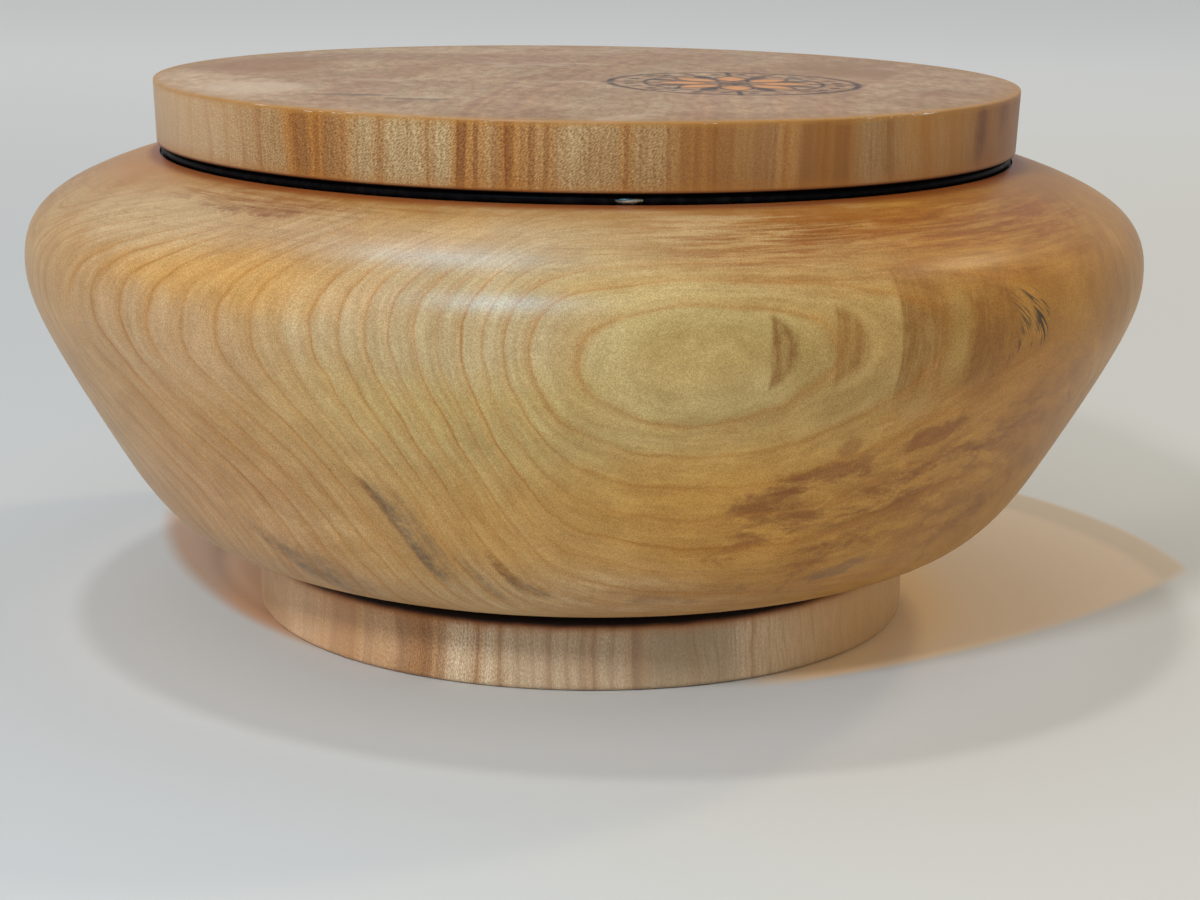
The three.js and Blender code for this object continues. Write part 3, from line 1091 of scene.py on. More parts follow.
class SawnWood(Finish):
    """Straight-grained wood whose rings cross the rim as upright streaks."""

    def __init__(self, name: str, gloss: Gloss, grain: Grain, effects: Effects) -> None:
        """Lays the wood with its streaks and flecks."""
        super().__init__(name, gloss, grain.pale)
        w = self.wiring
        self.effects, self.grain = effects, grain
        self.x, self.y, self.z = w.split(self.place)
        turned = w.effect(effects.turned_place, Place=self.place)
        self.azimuth, self.radius = turned["Azimuth"], turned["Radius"]
        across = self.across()
        ripple = w.noise(self.place, 0.5, 5.0, 0.7, stretch=(1.0, 1.0, 0.14)) - 0.5
        edge = across + ripple * 1.5
        cloud = w.noise(self.place, 0.03, 3.0, 0.6)
        self.lay(grain.deep, cloud.rise(0.38, 0.66))
        rings = w.effect(
            effects.year_rings, Depth=edge, Spacing=grain.spacing, Offset=0.1, Line_Share=0.2
        )
        self.lay(grain.line, rings["Line"] * (rings["Year"] * 0.8 + 0.2) * 0.4)
        fibre = w.noise(w.join(edge, 0.0, 0.0), 0.9, 4.0, 0.7)
        self.shade(fibre * 0.3 + 0.85)
        hairs = w.noise(w.join(across * 2.4, self.y * 0.3, self.z * 0.2), 1.0, 2.0, 0.6)
        self.shade(hairs.rise(0.32, 0.68) * 0.2 + 0.9)
        self.lay_streaks(edge, fibre)
        self.relief = self.lay_crinkle()

    def across(self) -> Signal:
        """The place across the grain, with the streaks as they meet the front rim."""
        sway = self.wiring.noise(self.place, 0.03, 2.0, 0.5) - 0.5
        away = (self.y + 85.0) / 100.0
        return self.x + away * away * self.grain.rear_bend + sway * (away * 26.0 + 1.0)

    def lay_streaks(self, edge: Signal, fibre: Signal) -> None:
        """Lays the dark streaks by their place across the grain, each with a glow beside it."""
        for streak in self.grain.streaks:
            soft = min(streak.half * 0.7, 0.7)
            mask = edge.within(streak.at, streak.half * 0.6, soft)
            mask = mask * self.wiring.spread(fibre, 0.3, 0.6, 1.0, 0.5)
            halo = edge.within(streak.at, streak.half, streak.half + 1.2)
            self.lay(self.grain.glow, halo * streak.share * 0.7)
            self.lay(self.grain.line, mask * streak.share)

    def lay_crinkle(self) -> Signal:
        """Lays the fine leaning ripples that cross the rim, and gives their height."""
        w = self.wiring
        on_rim = self.z.rise(self.grain.flat_level + 0.3, self.grain.flat_level)
        fibres = w.noise(self.place, 3.0, 2.0, 0.6)
        unrolled = w.join(self.azimuth * math.radians(1.0) * self.radius, self.z)
        leaning = w.turned(unrolled, math.radians(-self.grain.crinkle_lean))
        crinkled = w.noise(leaning, 4.8, 1.0, 0.5, 0.3, stretch=(0.36, 1.2, 1.0))
        fine = fibres + (crinkled - fibres) * on_rim
        depth = self.x.rise(42.0, 8.0) * (self.grain.crinkle * 0.6) + self.grain.crinkle * 0.4
        self.shade((fine.rise(0.3, 0.7) - 0.5) * depth + 1.0)
        return fine

    def tool_marks(self) -> Signal:
        """The height of the rings left by turning."""
        tree = self.effects.tool_marks
        return self.wiring.effect(tree, Radius=self.radius, Level=self.z)["Height"]


class FootWood(SawnWood):
    """The foot ring's finish: pale streaked wood, with painted shade where it meets the bowl."""

    def __init__(self, effects: Effects) -> None:
        """Lays the tints along the ring, partly painted light, and the painted shade at the joint.
        """
        super().__init__("foot_wood", Gloss(0.45, 0.06, 0.3, specular=0.16), FOOT_GRAIN, effects)
        x, azimuth = self.x, self.azimuth
        # Paler and warmer to the left, more orange to the right: partly the wood's tone, partly
        # painted warm light bounced from the bowl.
        self.lay(rgb(0.74, 0.43, 0.23), x.rise(-22.0, -50.0) * 0.5)
        self.lay(rgb(0.60, 0.32, 0.105), x.rise(24.0, 55.0) * 0.75)
        # A greyer middle, partly painted shade from the bowl above, and a darker patch at 20 mm
        # that is painted shadow of the bowl.
        self.lay(rgb(0.46, 0.37, 0.26), x.within(2.0, 10.0, 14.0) * 0.4)
        self.lay(rgb(0.31, 0.22, 0.125), x.within(20.5, 5.5, 6.0) * 0.6)
        # Painted shade at the joint with the bowl: orange, then dark red, then near black, fading
        # towards the back right.
        right_side = azimuth.rise(12.0, 70.0) * azimuth.rise(172.0, 120.0)
        uneven = (self.wiring.noise(self.place, 0.2, 3.0, 0.6) - 0.5) * 0.5
        joint_shade_level = self.z + uneven - right_side * 0.9
        outer = self.radius.rise(58.0, 60.0)
        self.lay(rgb(0.45, 0.17, 0.035), joint_shade_level.rise(9.8, 12.4) * outer * 0.4)
        self.lay(JOINT_SHADE_RED, joint_shade_level.rise(11.2, 12.6) * outer * 0.9)
        self.lay(BURN_AND_SHADE_BLACK, joint_shade_level.rise(12.0, 12.9) * outer * 0.98)
        marks = self.tool_marks()
        self.raise_by(self.relief * 0.5 + marks * 0.3)


@dataclass(frozen=True)
class Rosette:
    """A plain burned and tinted rosette for the lid, by its place and sizes in millimetres."""

    centre: Point = (28.5, -9.5)
    petals: int = 8
    petal_reach: float = 15.5
    petal_start: float = 4.4
    petal_width: float = 3.4
    leaf_middle: float = 14.2
    leaf_half: float = 3.6
    leaf_width: float = 1.5
    dots: int = 24
    dot_ring: float = 20.6
    dot: float = 0.95
    rim: float = 24.2
    eye: float = 2.6
    line: float = 0.42

    def masks(self, w: Wiring, place: Signal) -> tuple[Signal, Signal, Signal]:
        """Works out the pattern.

        Args:
            w: The wiring of the material.
            place: The place in millimetres.

        Returns:
            How much a point is burned, how much it is tinted, and how much it is scorched.
        """
        x, y, _ = w.split(place)
        wander = (w.noise(place, 0.4, 4.0, 0.7) - 0.5) * 1.6
        u, v = x - self.centre[0], y - self.centre[1]
        out = w.math("SQRT", u * u + v * v) + wander * 0.5
        angle = w.math("ARCTAN2", v, u) / math.tau

        def folded(count: int, shift: float) -> Signal:
            """The distance to the nearest of so many spokes, along the circle, in millimetres."""
            turn = angle * float(count) + shift
            return ((turn - turn.math("ROUND")) * (math.tau / count) * out).math("ABSOLUTE")

        def leaf(side: Signal, centre: float, length: float, width: float) -> Signal:
            """A pointed leaf as a height above its edge, in millimetres."""
            along = (out - centre) / length
            return w.math("MAXIMUM", 1.0 - along * along, 0.0) * width - side

        def ring(radius: float, line: float) -> Signal:
            """The distance to the edge of a ring's line, in millimetres."""
            return (out - radius).math("ABSOLUTE") - line

        middle = (self.petal_start + self.petal_reach) / 2
        half = (self.petal_reach - self.petal_start) / 2
        petal = leaf(folded(self.petals, 0.0), middle, half, self.petal_width)
        between = leaf(folded(self.petals, 0.5), self.leaf_middle, self.leaf_half, self.leaf_width)
        near = petal.math("ABSOLUTE") - self.line
        rim = ring(self.rim, self.line * 1.3)
        inner = ring(self.petal_reach + 1.9, self.line * 0.8)
        eye = ring(self.eye, self.line * 1.6)
        side, off_ring = folded(self.dots, 0.5), out - self.dot_ring
        dots = w.math("SQRT", side * side + off_ring * off_ring) - self.dot
        for other in (rim, inner, eye, dots, between * -1.0):
            near = w.math("MINIMUM", near, other)
        inside = out.rise(self.rim + 2.0, self.rim + 1.0)
        uneven = w.spread(w.noise(place, 0.16, 4.0, 0.7), 0.36, 0.6, 0.35, 1.0)
        burned = near.rise(0.25, -0.12) * inside * uneven
        scorched = near.rise(1.4, -0.2) * inside
        tinted = w.math("MAXIMUM", petal.rise(-0.1, 0.4), out.rise(2.4, 2.0))
        return burned, tinted, scorched


# The patches on the lid's top, and what their ragged edge moves them by.
LID_STAIN_SHIFT = 4.0
LID_STAINS = (
    Stain((-42, -44), (7, 1.6), 0.75, ASH, 0.9),
    Stain((-31, -50), (7, 1.3), 0.7, ASH, 0.9),
    Stain((-66, 18), (13, 22), 0.7, rgb(0.27, 0.11, 0.035), 0.9),
    Stain((-62, -32), (9, 12), 0.6, rgb(0.56, 0.42, 0.30), 0.9),
    Stain((-25, 45), (30, 12), 0.35, rgb(0.24, 0.11, 0.05), 1.0),
    Stain((54, 22), (11, 20), 0.6, rgb(0.27, 0.135, 0.05), 0.9),
    Stain((68, -26), (8, 9), 0.4, PLUM_BROWN, 0.9),
)


class LidWood(SawnWood):
    """The lid's finish: streaked wood with the rosette on its top."""

    def __init__(self, effects: Effects, rosette: Rosette = Rosette()) -> None:
        """Lays the tints, the top with its rosette, the rim, and the edges with painted glints and
        shade.
        """
        super().__init__("lid_wood", Gloss(0.42, 0.12, 0.28, specular=0.16), LID_GRAIN, effects)
        top = self.z.rise(105.3, 105.7)
        bloom = self.wiring.noise(self.place, 0.035, 4.0, 0.6)
        self.lay(rgb(0.22, 0.078, 0.008), self.x.rise(20.0, 66.0) * 0.5)
        self.lay(rgb(0.56, 0.37, 0.21), self.x.rise(-48.0, -78.0) * 0.6)
        face = self.plain_face(bloom)
        burned, tinted, scorched = rosette.masks(self.wiring, self.place)
        near_edge = self.radius.rise(79.0, 84.0) * self.wiring.spread(bloom, 0.35, 0.6, 0.4, 1.0)
        face.lay(rgb(0.34, 0.175, 0.045), near_edge * 0.6)
        face.lay(rgb(0.66, 0.25, 0.05), tinted * 0.7)
        face.lay(rgb(0.22, 0.085, 0.03), scorched * 0.55)
        face.lay(BURN_AND_SHADE_BLACK, burned * 0.95)
        self.lay(face.colour, top)
        self.lay_rim(top)
        self.lay_edges()
        marks = self.tool_marks()
        self.raise_by(self.relief * 0.5 + marks * 0.3 - burned * top * 2.0)

    def plain_face(self, bloom: Signal) -> Coat:
        """The wood of the flat top, with its grain and stains, as seen without the rosette."""
        w, place = self.wiring, self.place
        flat = w.join(self.x, self.y)
        face = Coat(w, self.colour)
        face.lay(rgb(0.41, 0.27, 0.17), 0.5)
        face.lay(rgb(0.29, 0.16, 0.085), bloom.rise(0.46, 0.7) * 0.6)
        streaky = w.noise(place, 0.36, 7.0, 0.82, stretch=(1.0, 0.45, 1.0))
        face.shade(streaky.rise(0.36, 0.64) * 0.42 + 0.79)
        broad = w.noise(place, 0.024, 3.0, 0.6, 0.6)
        face.shade(broad.rise(0.35, 0.65) * 0.22 + 0.89)
        face.lay(rgb(0.52, 0.39, 0.28), w.noise(place, 0.05, 5.0, 0.7).rise(0.54, 0.68) * 0.5)
        rough = w.noise(place, 0.12, 5.0, 0.7, colour=True)
        spot = w.moved(flat, rough, (8, 8, 0))
        for stain in LID_STAINS:
            centre = (stain.centre[0] + LID_STAIN_SHIFT, stain.centre[1] + LID_STAIN_SHIFT)
            mask = self.effects.patch(w, spot, centre, stain.half, stain.turn, stain.soft)
            face.lay(stain.colour, mask * stain.share)
        return face

    def lay_rim(self, top: Signal) -> None:
        """Lays the patches and tints of the front of the rim."""
        w, x, y, z = self.wiring, self.x, self.y, self.z
        rim_part = y.rise(12.0, -8.0) * (1.0 - top)
        grain = w.noise(w.join(x * 1.1, y * 0.3, z * 0.12), 1.0, 4.0, 0.7)
        leaf = grain - 0.5
        inner = (x + leaf * 3.0).within(71.6, 0.6, 1.5) * (z + leaf * 8.0).rise(95.0, 100.5)
        outer = (x + leaf * 2.0).within(77.4, 0.5, 1.3) * (z + leaf * 6.0).rise(98.5, 103.0)
        patches = (inner + outer) * rim_part * grain.rise(0.3, 0.6)
        self.lay(rgb(0.13, 0.045, 0.016), patches * 0.8)
        dusk = x.within(23.0, 6.0, 5.0) + x.within(41.0, 3.5, 3.0)
        self.lay(rgb(0.25, 0.105, 0.025), dusk * rim_part * 0.55)
        self.lay(rgb(0.45, 0.19, 0.025), x.within(62.0, 5.0, 5.0) * rim_part * 0.35)
        self.lay(rgb(0.26, 0.085, 0.006), x.rise(68.0, 82.0) * rim_part * 0.5)

    def lay_edges(self) -> None:
        """Lays the darker upper edge with painted glints, and painted shade on the lower edge and
        underside.
        """
        w, z, radius = self.wiring, self.z, self.radius
        edge_noise = w.noise(w.join(self.azimuth * 0.4, z * 3.0, radius * 3.0), 0.5, 4.0, 0.7)
        rim_edge = (z + (edge_noise - 0.5) * 3.2).rise(104.5, 105.6) * radius.rise(83.6, 84.5)
        self.lay(rgb(0.40, 0.185, 0.035), rim_edge * w.spread(edge_noise, 0.35, 0.6, 0.85, 0.4))
        # Painted glints: small pale flecks along the top edge.
        edge_glints = edge_noise.rise(0.61, 0.66) * z.within(105.55, 0.1, 0.15) * radius.rise(84.4, 84.7)
        self.lay(rgb(0.78, 0.72, 0.60), edge_glints * 0.85)
        # Painted shade: warm towards the lower edge, a dark red line at its bottom, and near black
        # on the underside beyond.
        low = z.rise(97.5, 94.0)
        self.lay(rgb(0.38, 0.15, 0.028), low * low * 0.4)
        self.lay(rgb(0.17, 0.04, 0.004), z.rise(94.45, 93.95) * 0.9)
        self.lay(BURN_AND_SHADE_BLACK, z.rise(94.0, 93.85) * radius.rise(77.0, 79.0))


class BlackRubber(Finish):
    """The black ring's finish: smooth rubber with a faint bloom."""

    def __init__(self) -> None:
        """Lays the bloom."""
        super().__init__("black_rubber", Gloss(0.35, specular=0.02), rgb(0.003, 0.0025, 0.003))
        w = self.wiring
        bloom = w.noise(self.place, 0.4, 3.0, 0.6)
        self.lay(rgb(0.008, 0.007, 0.008), bloom.rise(0.4, 0.75))
        w.fill(self.shader, Roughness=w.spread(bloom, 0.3, 0.7, 0.3, 0.45))
        self.raise_by(w.noise(self.place, 6.0, 2.0, 0.5), 0.00002, 0.3)


class PressedMetal(Finish):
    """The sleeve's finish: dull silver metal with scratches along it and a little grime."""

    def __init__(self) -> None:
        """Lays the scratches, the grime, painted shade under the lid's edge and a painted darker
        right end.
        """
        super().__init__("pressed_metal", Gloss(0.3, metallic=1.0), rgb(0.72, 0.69, 0.62))
        w = self.wiring
        scratches = w.noise(self.place, 9.0, 3.0, 0.65, stretch=(0.2, 1.0, 1.0))
        grime = w.noise(self.place, 1.4, 3.0, 0.6)
        self.lay(rgb(0.55, 0.52, 0.44), scratches.rise(0.4, 0.65))
        self.lay(rgb(0.20, 0.17, 0.10), grime.rise(0.52, 0.7) * 0.6)
        x, _, z = w.split(self.place)
        # Painted shade: the part of the sleeve under the lid's edge is near black.
        upper = (z - (x - 7.2) * 0.1 - 92.55).rise(-0.15, 0.3)
        self.lay(rgb(0.02, 0.018, 0.014), upper * 0.96)
        # Painted shade and reflection: the right end darker and olive.
        self.lay(rgb(0.16, 0.14, 0.075), x.rise(7.6, 9.0) * 0.7)
        w.fill(self.shader, Roughness=w.spread(grime, 0.4, 0.7, 0.24, 0.5))
        self.raise_by(scratches, 0.00003, 0.4)


class PlainPaper(Finish):
    """The floor's finish: plain pale paper, with the warm light that the box throws beside it."""

    def __init__(self) -> None:
        """Lays the tones of the paper, the patches of warm light and the shade between them."""
        super().__init__("plain_paper", Gloss(0.75, specular=0.1), rgb(0.54, 0.565, 0.58))
        w = self.wiring
        x, y, _ = w.split(self.place)
        self.lay(rgb(0.555, 0.58, 0.59), w.noise(self.place, 0.002, 2.0, 0.5))
        self.lay(rgb(0.58, 0.575, 0.545), x.rise(-60.0, 90.0))
        self.lay(rgb(0.84, 0.85, 0.845), y.rise(150.0, 1500.0))
        out = w.math("SQRT", x * x + y * y)
        # Painted light: the paper is lighter round the box, lifting the shade there.
        self.lay(rgb(0.625, 0.64, 0.64), out.rise(122.0, 92.0))

        def inside(centre: Point, reach: float, soft: float) -> Signal:
            """Is 1 within a circle on the floor."""
            away = w.aim("DISTANCE", w.join(x, y), (*centre, 0.0))
            return away.rise(reach + soft, reach - soft)

        # Painted warm light on the floor at either side of the box, inside its shadows.
        right = inside((8.7, 10.0), 123.1, 1.8) * inside((-55.2, 145.2), 223.7, 2.2)
        right = right * x.rise(28.0, 52.0) * (x - y).rise(-40.0, 14.0)
        left = inside((69.0, 73.2), 164.7, 2.6) * out.rise(124.0, 112.0)
        left = left * y.rise(-46.0, -36.0) * x.rise(5.0, -5.0) * (x + y).rise(0.0, -42.0)
        # Painted light that lifts the shade behind the box to the right.
        rear_shade = inside((59.5, 135.8), 104.0, 16.0) * (1.0 - right)
        self.lay(rgb(0.66, 0.65, 0.61), rear_shade * 0.7)
        self.lay(rgb(0.84, 0.685, 0.515), right)
        self.lay(rgb(0.94, 0.75, 0.53), right * out.rise(98.0, 72.0))
        self.lay(rgb(1.0, 0.76, 0.45), right * out.rise(82.0, 68.0))
        # Painted shade where the warm patch at the right reaches past the box's own shadow.
        still_lit = 1.0 - inside((10.7, 3.0), 113.1, 3.4)
        self.lay(rgb(0.69, 0.69, 0.69), right * still_lit, Blend.DARKEN)
        self.lay(rgb(0.51, 0.355, 0.26), left)
        self.lay(rgb(0.61, 0.36, 0.22), left * out.rise(78.0, 68.0))
        self.lay(rgb(1.0, 0.70, 0.50), left * inside((12.0, 33.5), 89.1, 2.6))
        path = w.node("ShaderNodeLightPath")
        self.lay(rgb(0.80, 0.79, 0.77), Signal(w, path.outputs["Is Diffuse Ray"]))


def seat_piece(piece: bpy.types.Object, body: Body, slot: str, finish: Finish, *nodes: str) -> None:
    """Dresses a finished piece and hands it to the frame.

    Args:
        piece: The piece.
        body: The body that it rides on.
        slot: Not used.
        finish: Its finish.
        nodes: The CAD nodes that it stands for.
    """
    piece.data.materials.clear()
    piece.data.materials.append(finish.material())
    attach(piece, body.value)
    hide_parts(*nodes)
    log.info("%s: %d faces, rides on %s", piece.name, len(piece.data.polygons), body.value)


@dataclass
class Base:
    """The bowl and the foot ring under it."""

    effects: Effects
    lathe: Lathe
    foot: FootSizes = FootSizes()
    bowl: BowlSizes = BowlSizes()

    def outline(self, inset: float, end_radius: float, steps: tuple[int, int, int]) -> list[Corner]:
        """The bowl's outside from the base to the seat, or a curve inside it.

        Args:
            inset: How far inside the surface the curve runs.
            end_radius: The radius that it runs on to, along the shoulder's slope.
            steps: How many stretches each of its three parts has.

        Returns:
            The curve's points, from the bottom up.
        """
        b = self.bowl

        def anchor(radius: float, level: float, slope: float) -> tuple[Vector, float]:
            """A point moved inwards along its normal, with its slope."""
            return Vector((radius, level)) + heading(slope + 90) * inset, slope

        base = anchor(b.base_radius, b.base_level, b.under_slope)
        flank = anchor(b.flank_radius, b.flank_level, b.flank_slope)
        widest = anchor(b.widest_radius, b.widest_level, 90.0)
        seat, slope = anchor(b.seat_radius, b.seat_level, 180 - b.shoulder_slope)
        rise = (seat.x - end_radius) * math.tan(math.radians(b.shoulder_slope))
        end = (Vector((end_radius, seat.y + rise)), slope)
        points = swept(base, flank, b.under_reach, steps[0])
        points += swept(flank, widest, b.flank_reach, steps[1])[1:]
        points += swept(widest, end, b.shoulder_reach, steps[2])[1:]
        return [Corner(p.x, p.y) for p in points]

    def make_bowl(self) -> bpy.types.Object:
        """Turns the hollow bowl with its tenon, groove and collar."""
        b = self.bowl
        outside = self.outline(0.0, b.seat_radius, b.outside_steps)
        ceiling, *inside = self.outline(b.wall, b.mouth_radius, b.inside_steps)[::-1]
        corners = [
            Corner(0.0, b.tenon_end + b.tenon_dish),
            Corner(b.tenon_radius, b.tenon_end, b.edge_rounding),
            Corner(b.tenon_radius, b.base_level),
            *outside,
            Corner(b.groove_radius, b.groove_floor),
            Corner(b.collar_radius, b.groove_floor),
            Corner(b.collar_radius, b.collar_top, b.edge_rounding),
            Corner(b.mouth_radius, b.collar_top, b.edge_rounding),
            Corner(ceiling.radius, ceiling.level, b.mouth_rounding),
            *inside,
            Corner(0.0, inside[-1].level),
        ]
        return self.lathe.turn(self.lathe.draw("turned_bowl", eased(corners, False), False))

    def make_foot(self) -> bpy.types.Object:
        """Turns the foot ring with its eased edges."""
        f = self.foot
        corners = [
            Corner(f.bore, 0.0, f.bore_rounding),
            Corner(f.radius, 0.0, f.bottom_rounding),
            Corner(f.radius, f.height, f.top_rounding),
            Corner(f.bore, f.height),
        ]
        return self.lathe.turn(self.lathe.draw("turned_foot", eased(corners, True), True))

    def build(self) -> None:
        """Makes both pieces and dresses them."""
        seat_piece(self.make_bowl(), Body.BOX, "bowl_wood", FiguredWood(self.effects), "bowl")
        seat_piece(self.make_foot(), Body.BOX, "foot_wood", FootWood(self.effects), "foot_ring")


@dataclass
class Cover:
    """The lid that lifts out of the bowl's mouth."""

    effects: Effects
    lathe: Lathe
    lid: LidSizes = LidSizes()

    def make_lid(self) -> bpy.types.Object:
        """Turns the lid with its spigot and the dish within it."""
        s = self.lid
        dish_top = Vector((0.0, s.spigot_end + s.dish_depth))
        dish_edge = Vector((s.dish_radius, s.spigot_end))
        shoulder = Vector((s.dish_radius * s.dish_flat, dish_top.y))
        dish = bezier(dish_top, shoulder, dish_edge.lerp(shoulder, 0.5), dish_edge, s.dish_steps)
        corners = [
            *(Corner(p.x, p.y) for p in dish),
            Corner(s.spigot_radius, s.spigot_end, s.spigot_rounding),
            Corner(s.spigot_radius, s.underside),
            Corner(s.radius - s.taper, s.underside, s.bottom_rounding),
            Corner(s.radius, s.top, s.top_rounding),
            *(Corner(s.radius * share, s.top) for share in s.top_rings),
            Corner(0.0, s.top),
        ]
        return self.lathe.turn(self.lathe.draw("turned_lid", eased(corners, False), False))

    def build(self) -> None:
        """Makes the lid and dresses it."""
        seat_piece(self.make_lid(), Body.COVER, "lid_wood", LidWood(self.effects), "lid")


@dataclass
class Seal:
    """The black ring in its groove, and the small metal sleeve on it."""

    lathe: Lathe
    small_lathe: Lathe = Lathe(steps=48)
    sizes: SealSizes = SealSizes()

    def make_ring(self) -> bpy.types.Object:
        """Turns the black bead, drawn down to a thin neck inside the sleeve."""
        s = self.sizes
        angles = [math.tau * i / s.ring_points for i in range(s.ring_points)]
        wide, high = s.ring_width / 2, s.ring_height / 2
        oval = [
            (s.ring_radius + wide * math.cos(angle), s.ring_level + high * math.sin(angle))
            for angle in angles
        ]
        piece = self.lathe.turn(self.lathe.draw("black_bead", oval, True))
        reach = (s.sleeve_length / 2 + s.clearance) / s.ring_radius
        turn = math.radians(s.sleeve_azimuth)
        for vertex in piece.data.vertices:
            angle = math.atan2(vertex.co.x, -vertex.co.y)
            if abs(angle - turn) < reach:
                centre = Vector((math.sin(angle), -math.cos(angle), 0.0)) * s.ring_radius
                centre.z = s.ring_level
                vertex.co = centre.lerp(vertex.co, s.neck_share)
        return piece

    def make_sleeve(self) -> bpy.types.Object:
        """Turns the small barrel along X, widens it and carries it to its place."""
        s = self.sizes
        full, half = s.ring_height / 2, s.sleeve_length / 2
        bore = s.neck_share * s.ring_height / 2 + s.clearance
        end = full * s.end_share
        barrel = [
            Corner(half * t, end + (full - end) * (1 - t * t)) for t in s.sleeve_stations
        ]
        corners = [
            Corner(-half, bore, s.sleeve_bore_rounding),
            Corner(-half, end, s.sleeve_end_rounding),
            *barrel,
            Corner(half, end, s.sleeve_end_rounding),
            Corner(half, bore, s.sleeve_bore_rounding),
        ]
        drawn = self.small_lathe.draw("metal_sleeve", eased(corners, True), True)
        piece = self.small_lathe.turn(drawn, (1, 0, 0))
        wide = (s.ring_width / 2 + s.sleeve_proud) / full
        bpy.ops.transform.resize(value=(1.0, wide, 1.0))
        turn = math.radians(s.sleeve_azimuth)
        across, back = s.ring_radius * math.sin(turn), -s.ring_radius * math.cos(turn)
        piece.location = (across, back, s.ring_level)
        piece.rotation_euler = (0.0, 0.0, turn)
        bpy.ops.object.transform_apply(location=True, rotation=True, scale=True)
        return piece

    def build(self) -> None:
        """Makes both pieces and dresses them."""
        seat_piece(self.make_ring(), Body.SEAL, "ring_rubber", BlackRubber(), "black_ring")
        seat_piece(self.make_sleeve(), Body.SEAL, "sleeve_metal", PressedMetal(), "ring_sleeve")


@dataclass(frozen=True)
class Lamp:
    """A soft lamp that looks at the box."""

    name: str
    place: Triple
    size: Point
    power: float
    colour: Triple
    in_gloss: bool = True
    in_diffuse: bool = True


def lamp(name: str, place: Triple, size: Point, power: float, colour: Triple) -> Lamp:
    """A lamp that lights the box but isn't seen in its gloss."""
    return Lamp(name, place, size, power, colour, in_gloss=False)


def panel(name: str, place: Triple, size: Point, power: float, colour: Triple) -> Lamp:
    """A panel that is seen in the gloss only."""
    return Lamp(name, place, size, power, colour, in_diffuse=False)


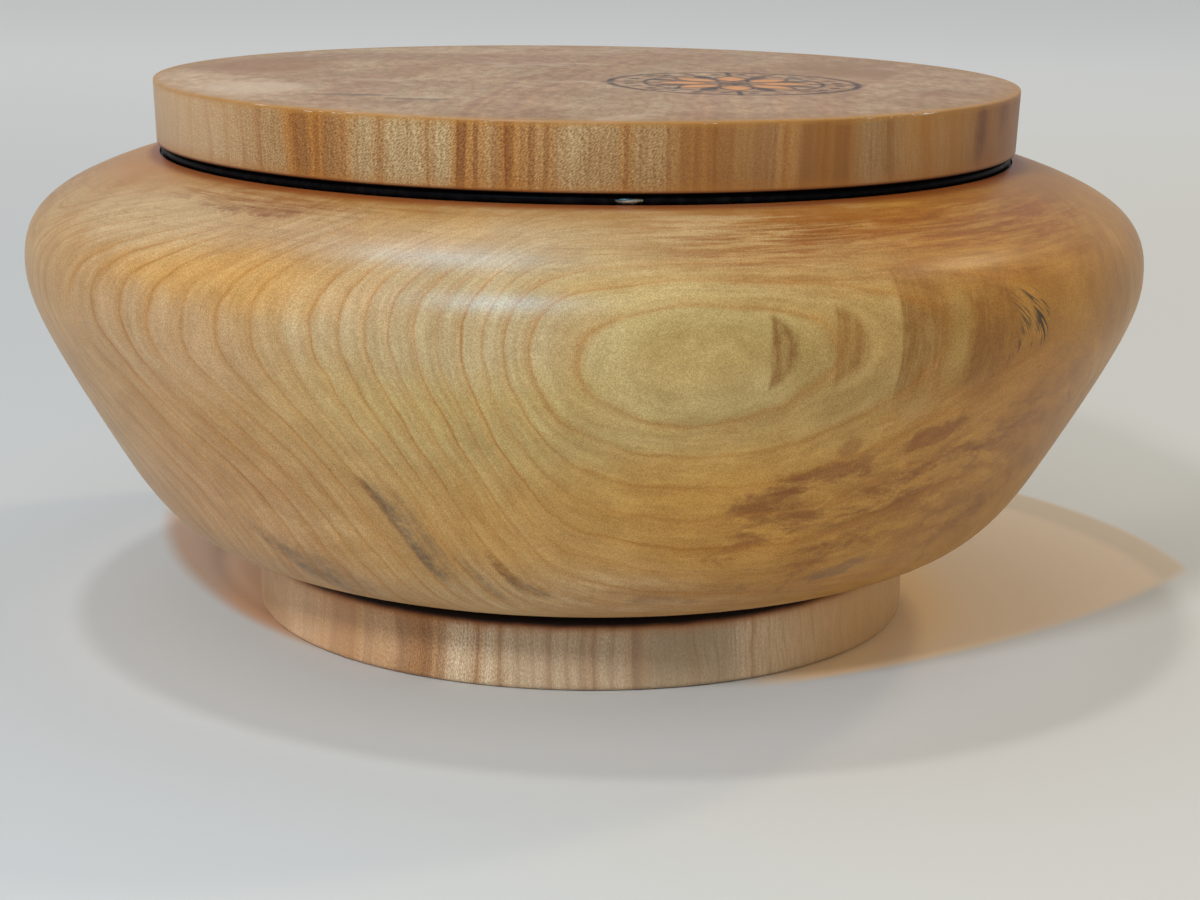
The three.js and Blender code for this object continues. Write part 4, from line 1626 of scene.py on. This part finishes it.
@dataclass
class Stage:
    """The plain floor, the soft lamps and the pale surroundings."""

    floor_size: float = 16.0
    floor_drop: float = 0.00005
    aim: Triple = (0.0, 0.0, 0.06)
    surround: Colour = rgb(0.50, 0.50, 0.50)
    fill: Colour = rgb(0.975, 0.99, 1.0)
    fill_strength: float = 0.55
    lamps: tuple[Lamp, ...] = (
        lamp("lamp_overhead", (-0.40, -0.115, 2.8), (0.24, 0.24), 13.5, (1.0, 0.985, 0.96)),
        lamp("lamp_front_left", (-0.39, -0.89, 0.80), (0.16, 0.18), 7.4, (0.95, 0.98, 1.0)),
        panel("panel_front_left", (-0.30, -0.86, 1.03), (0.34, 0.60), 16.0, (0.24, 0.66, 1.0)),
        panel("panel_rear_left", (-0.30, 0.50, 1.49), (0.36, 0.52), 9.4, (0.20, 0.62, 1.0)),
        Lamp("lamp_rear_right", (0.75, 0.42, 0.92), (0.12, 0.12), 2.1, (1.0, 0.82, 0.5)),
    )

    def build(self) -> None:
        """Lays the floor, hangs the lamps and lights the surroundings."""
        bpy.ops.object.select_all(action="DESELECT")
        bpy.ops.mesh.primitive_plane_add(size=self.floor_size, location=(0, 0, -self.floor_drop))
        floor = bpy.context.object
        floor.name = "floor"
        floor.data.materials.append(PlainPaper().material())
        for each in self.lamps:
            self.hang(each)
        self.surroundings()

    def hang(self, light: Lamp) -> None:
        """Hangs one lamp, turned towards the middle of the box."""
        data = bpy.data.lights.new(light.name, "AREA")
        data.shape = "ELLIPSE"
        data.size, data.size_y = light.size
        data.energy = light.power
        data.color = light.colour
        made = bpy.data.objects.new(light.name, data)
        bpy.context.scene.collection.objects.link(made)
        made.location = light.place
        aim = Vector(self.aim) - Vector(light.place)
        made.rotation_euler = aim.to_track_quat("-Z", "Y").to_euler()
        made.visible_camera = False
        made.visible_glossy = light.in_gloss
        made.visible_diffuse = light.in_diffuse

    def surroundings(self) -> None:
        """Soft light from all sides, and a pale tone where camera or gloss sees past the floor."""
        world = bpy.data.worlds.new("studio")
        bpy.context.scene.world = world
        world.use_nodes = True
        w = Wiring(world.node_tree)
        w.tree.nodes.clear()
        path = w.node("ShaderNodeLightPath")
        kinds = ("Is Camera Ray", "Is Glossy Ray", "Is Transmission Ray")
        camera, glossy, through = (Signal(w, path.outputs[kind]) for kind in kinds)
        seen = camera.math("MAXIMUM", glossy).math("MAXIMUM", through)
        light, pale = w.node("ShaderNodeBackground"), w.node("ShaderNodeBackground")
        w.fill(light, Color=self.fill, Strength=self.fill_strength)
        w.fill(pale, Color=self.surround)
        sources = (seen, Signal(w, light.outputs[0]), Signal(w, pale.outputs[0]))
        mix = w.run(w.node("ShaderNodeMixShader"), *sources)
        w.fill(w.node("ShaderNodeOutputWorld"), Surface=mix)


@dataclass(frozen=True)
class Viewpoint:
    """The camera: low in front of the box, looking a little down on it, with angles in radians."""

    place: Triple = (0.0, -0.50085, 0.14851)
    yaw: float = 0.0071
    pitch: float = -0.2325
    roll: float = 0.0147
    lens: float = 75.174
    sensor: float = 36.0
    clip: Point = (0.01, 100.0)

    def build(self) -> None:
        """Makes the camera and sets it as the scene's own."""
        data = bpy.data.cameras.new("camera")
        data.lens = self.lens
        data.sensor_width = self.sensor
        data.clip_start, data.clip_end = self.clip
        camera = bpy.data.objects.new("camera", data)
        bpy.context.scene.collection.objects.link(camera)
        east, north = math.sin(self.yaw), math.cos(self.yaw)
        flat = math.cos(self.pitch)
        ahead = Vector((east * flat, north * flat, math.sin(self.pitch)))
        side = Vector((north, -east, 0.0))
        above = side.cross(ahead)
        right = side * math.cos(self.roll) + above * math.sin(self.roll)
        up = above * math.cos(self.roll) - side * math.sin(self.roll)
        turn = Matrix((right, up, -ahead)).transposed().to_4x4()
        camera.matrix_world = Matrix.Translation(self.place) @ turn
        bpy.context.scene.camera = camera


def main() -> None:
    """Builds the box, the stage and the camera."""
    logging.basicConfig(level=logging.INFO, format="%(name)s: %(message)s")
    bpy.context.scene.view_settings.view_transform = "Standard"
    Viewpoint().build()
    effects = Effects()
    lathe = Lathe()
    Base(effects, lathe).build()
    Seal(lathe).build()
    Cover(effects, lathe).build()
    Stage().build()


if __name__ == "__main__":
    main()
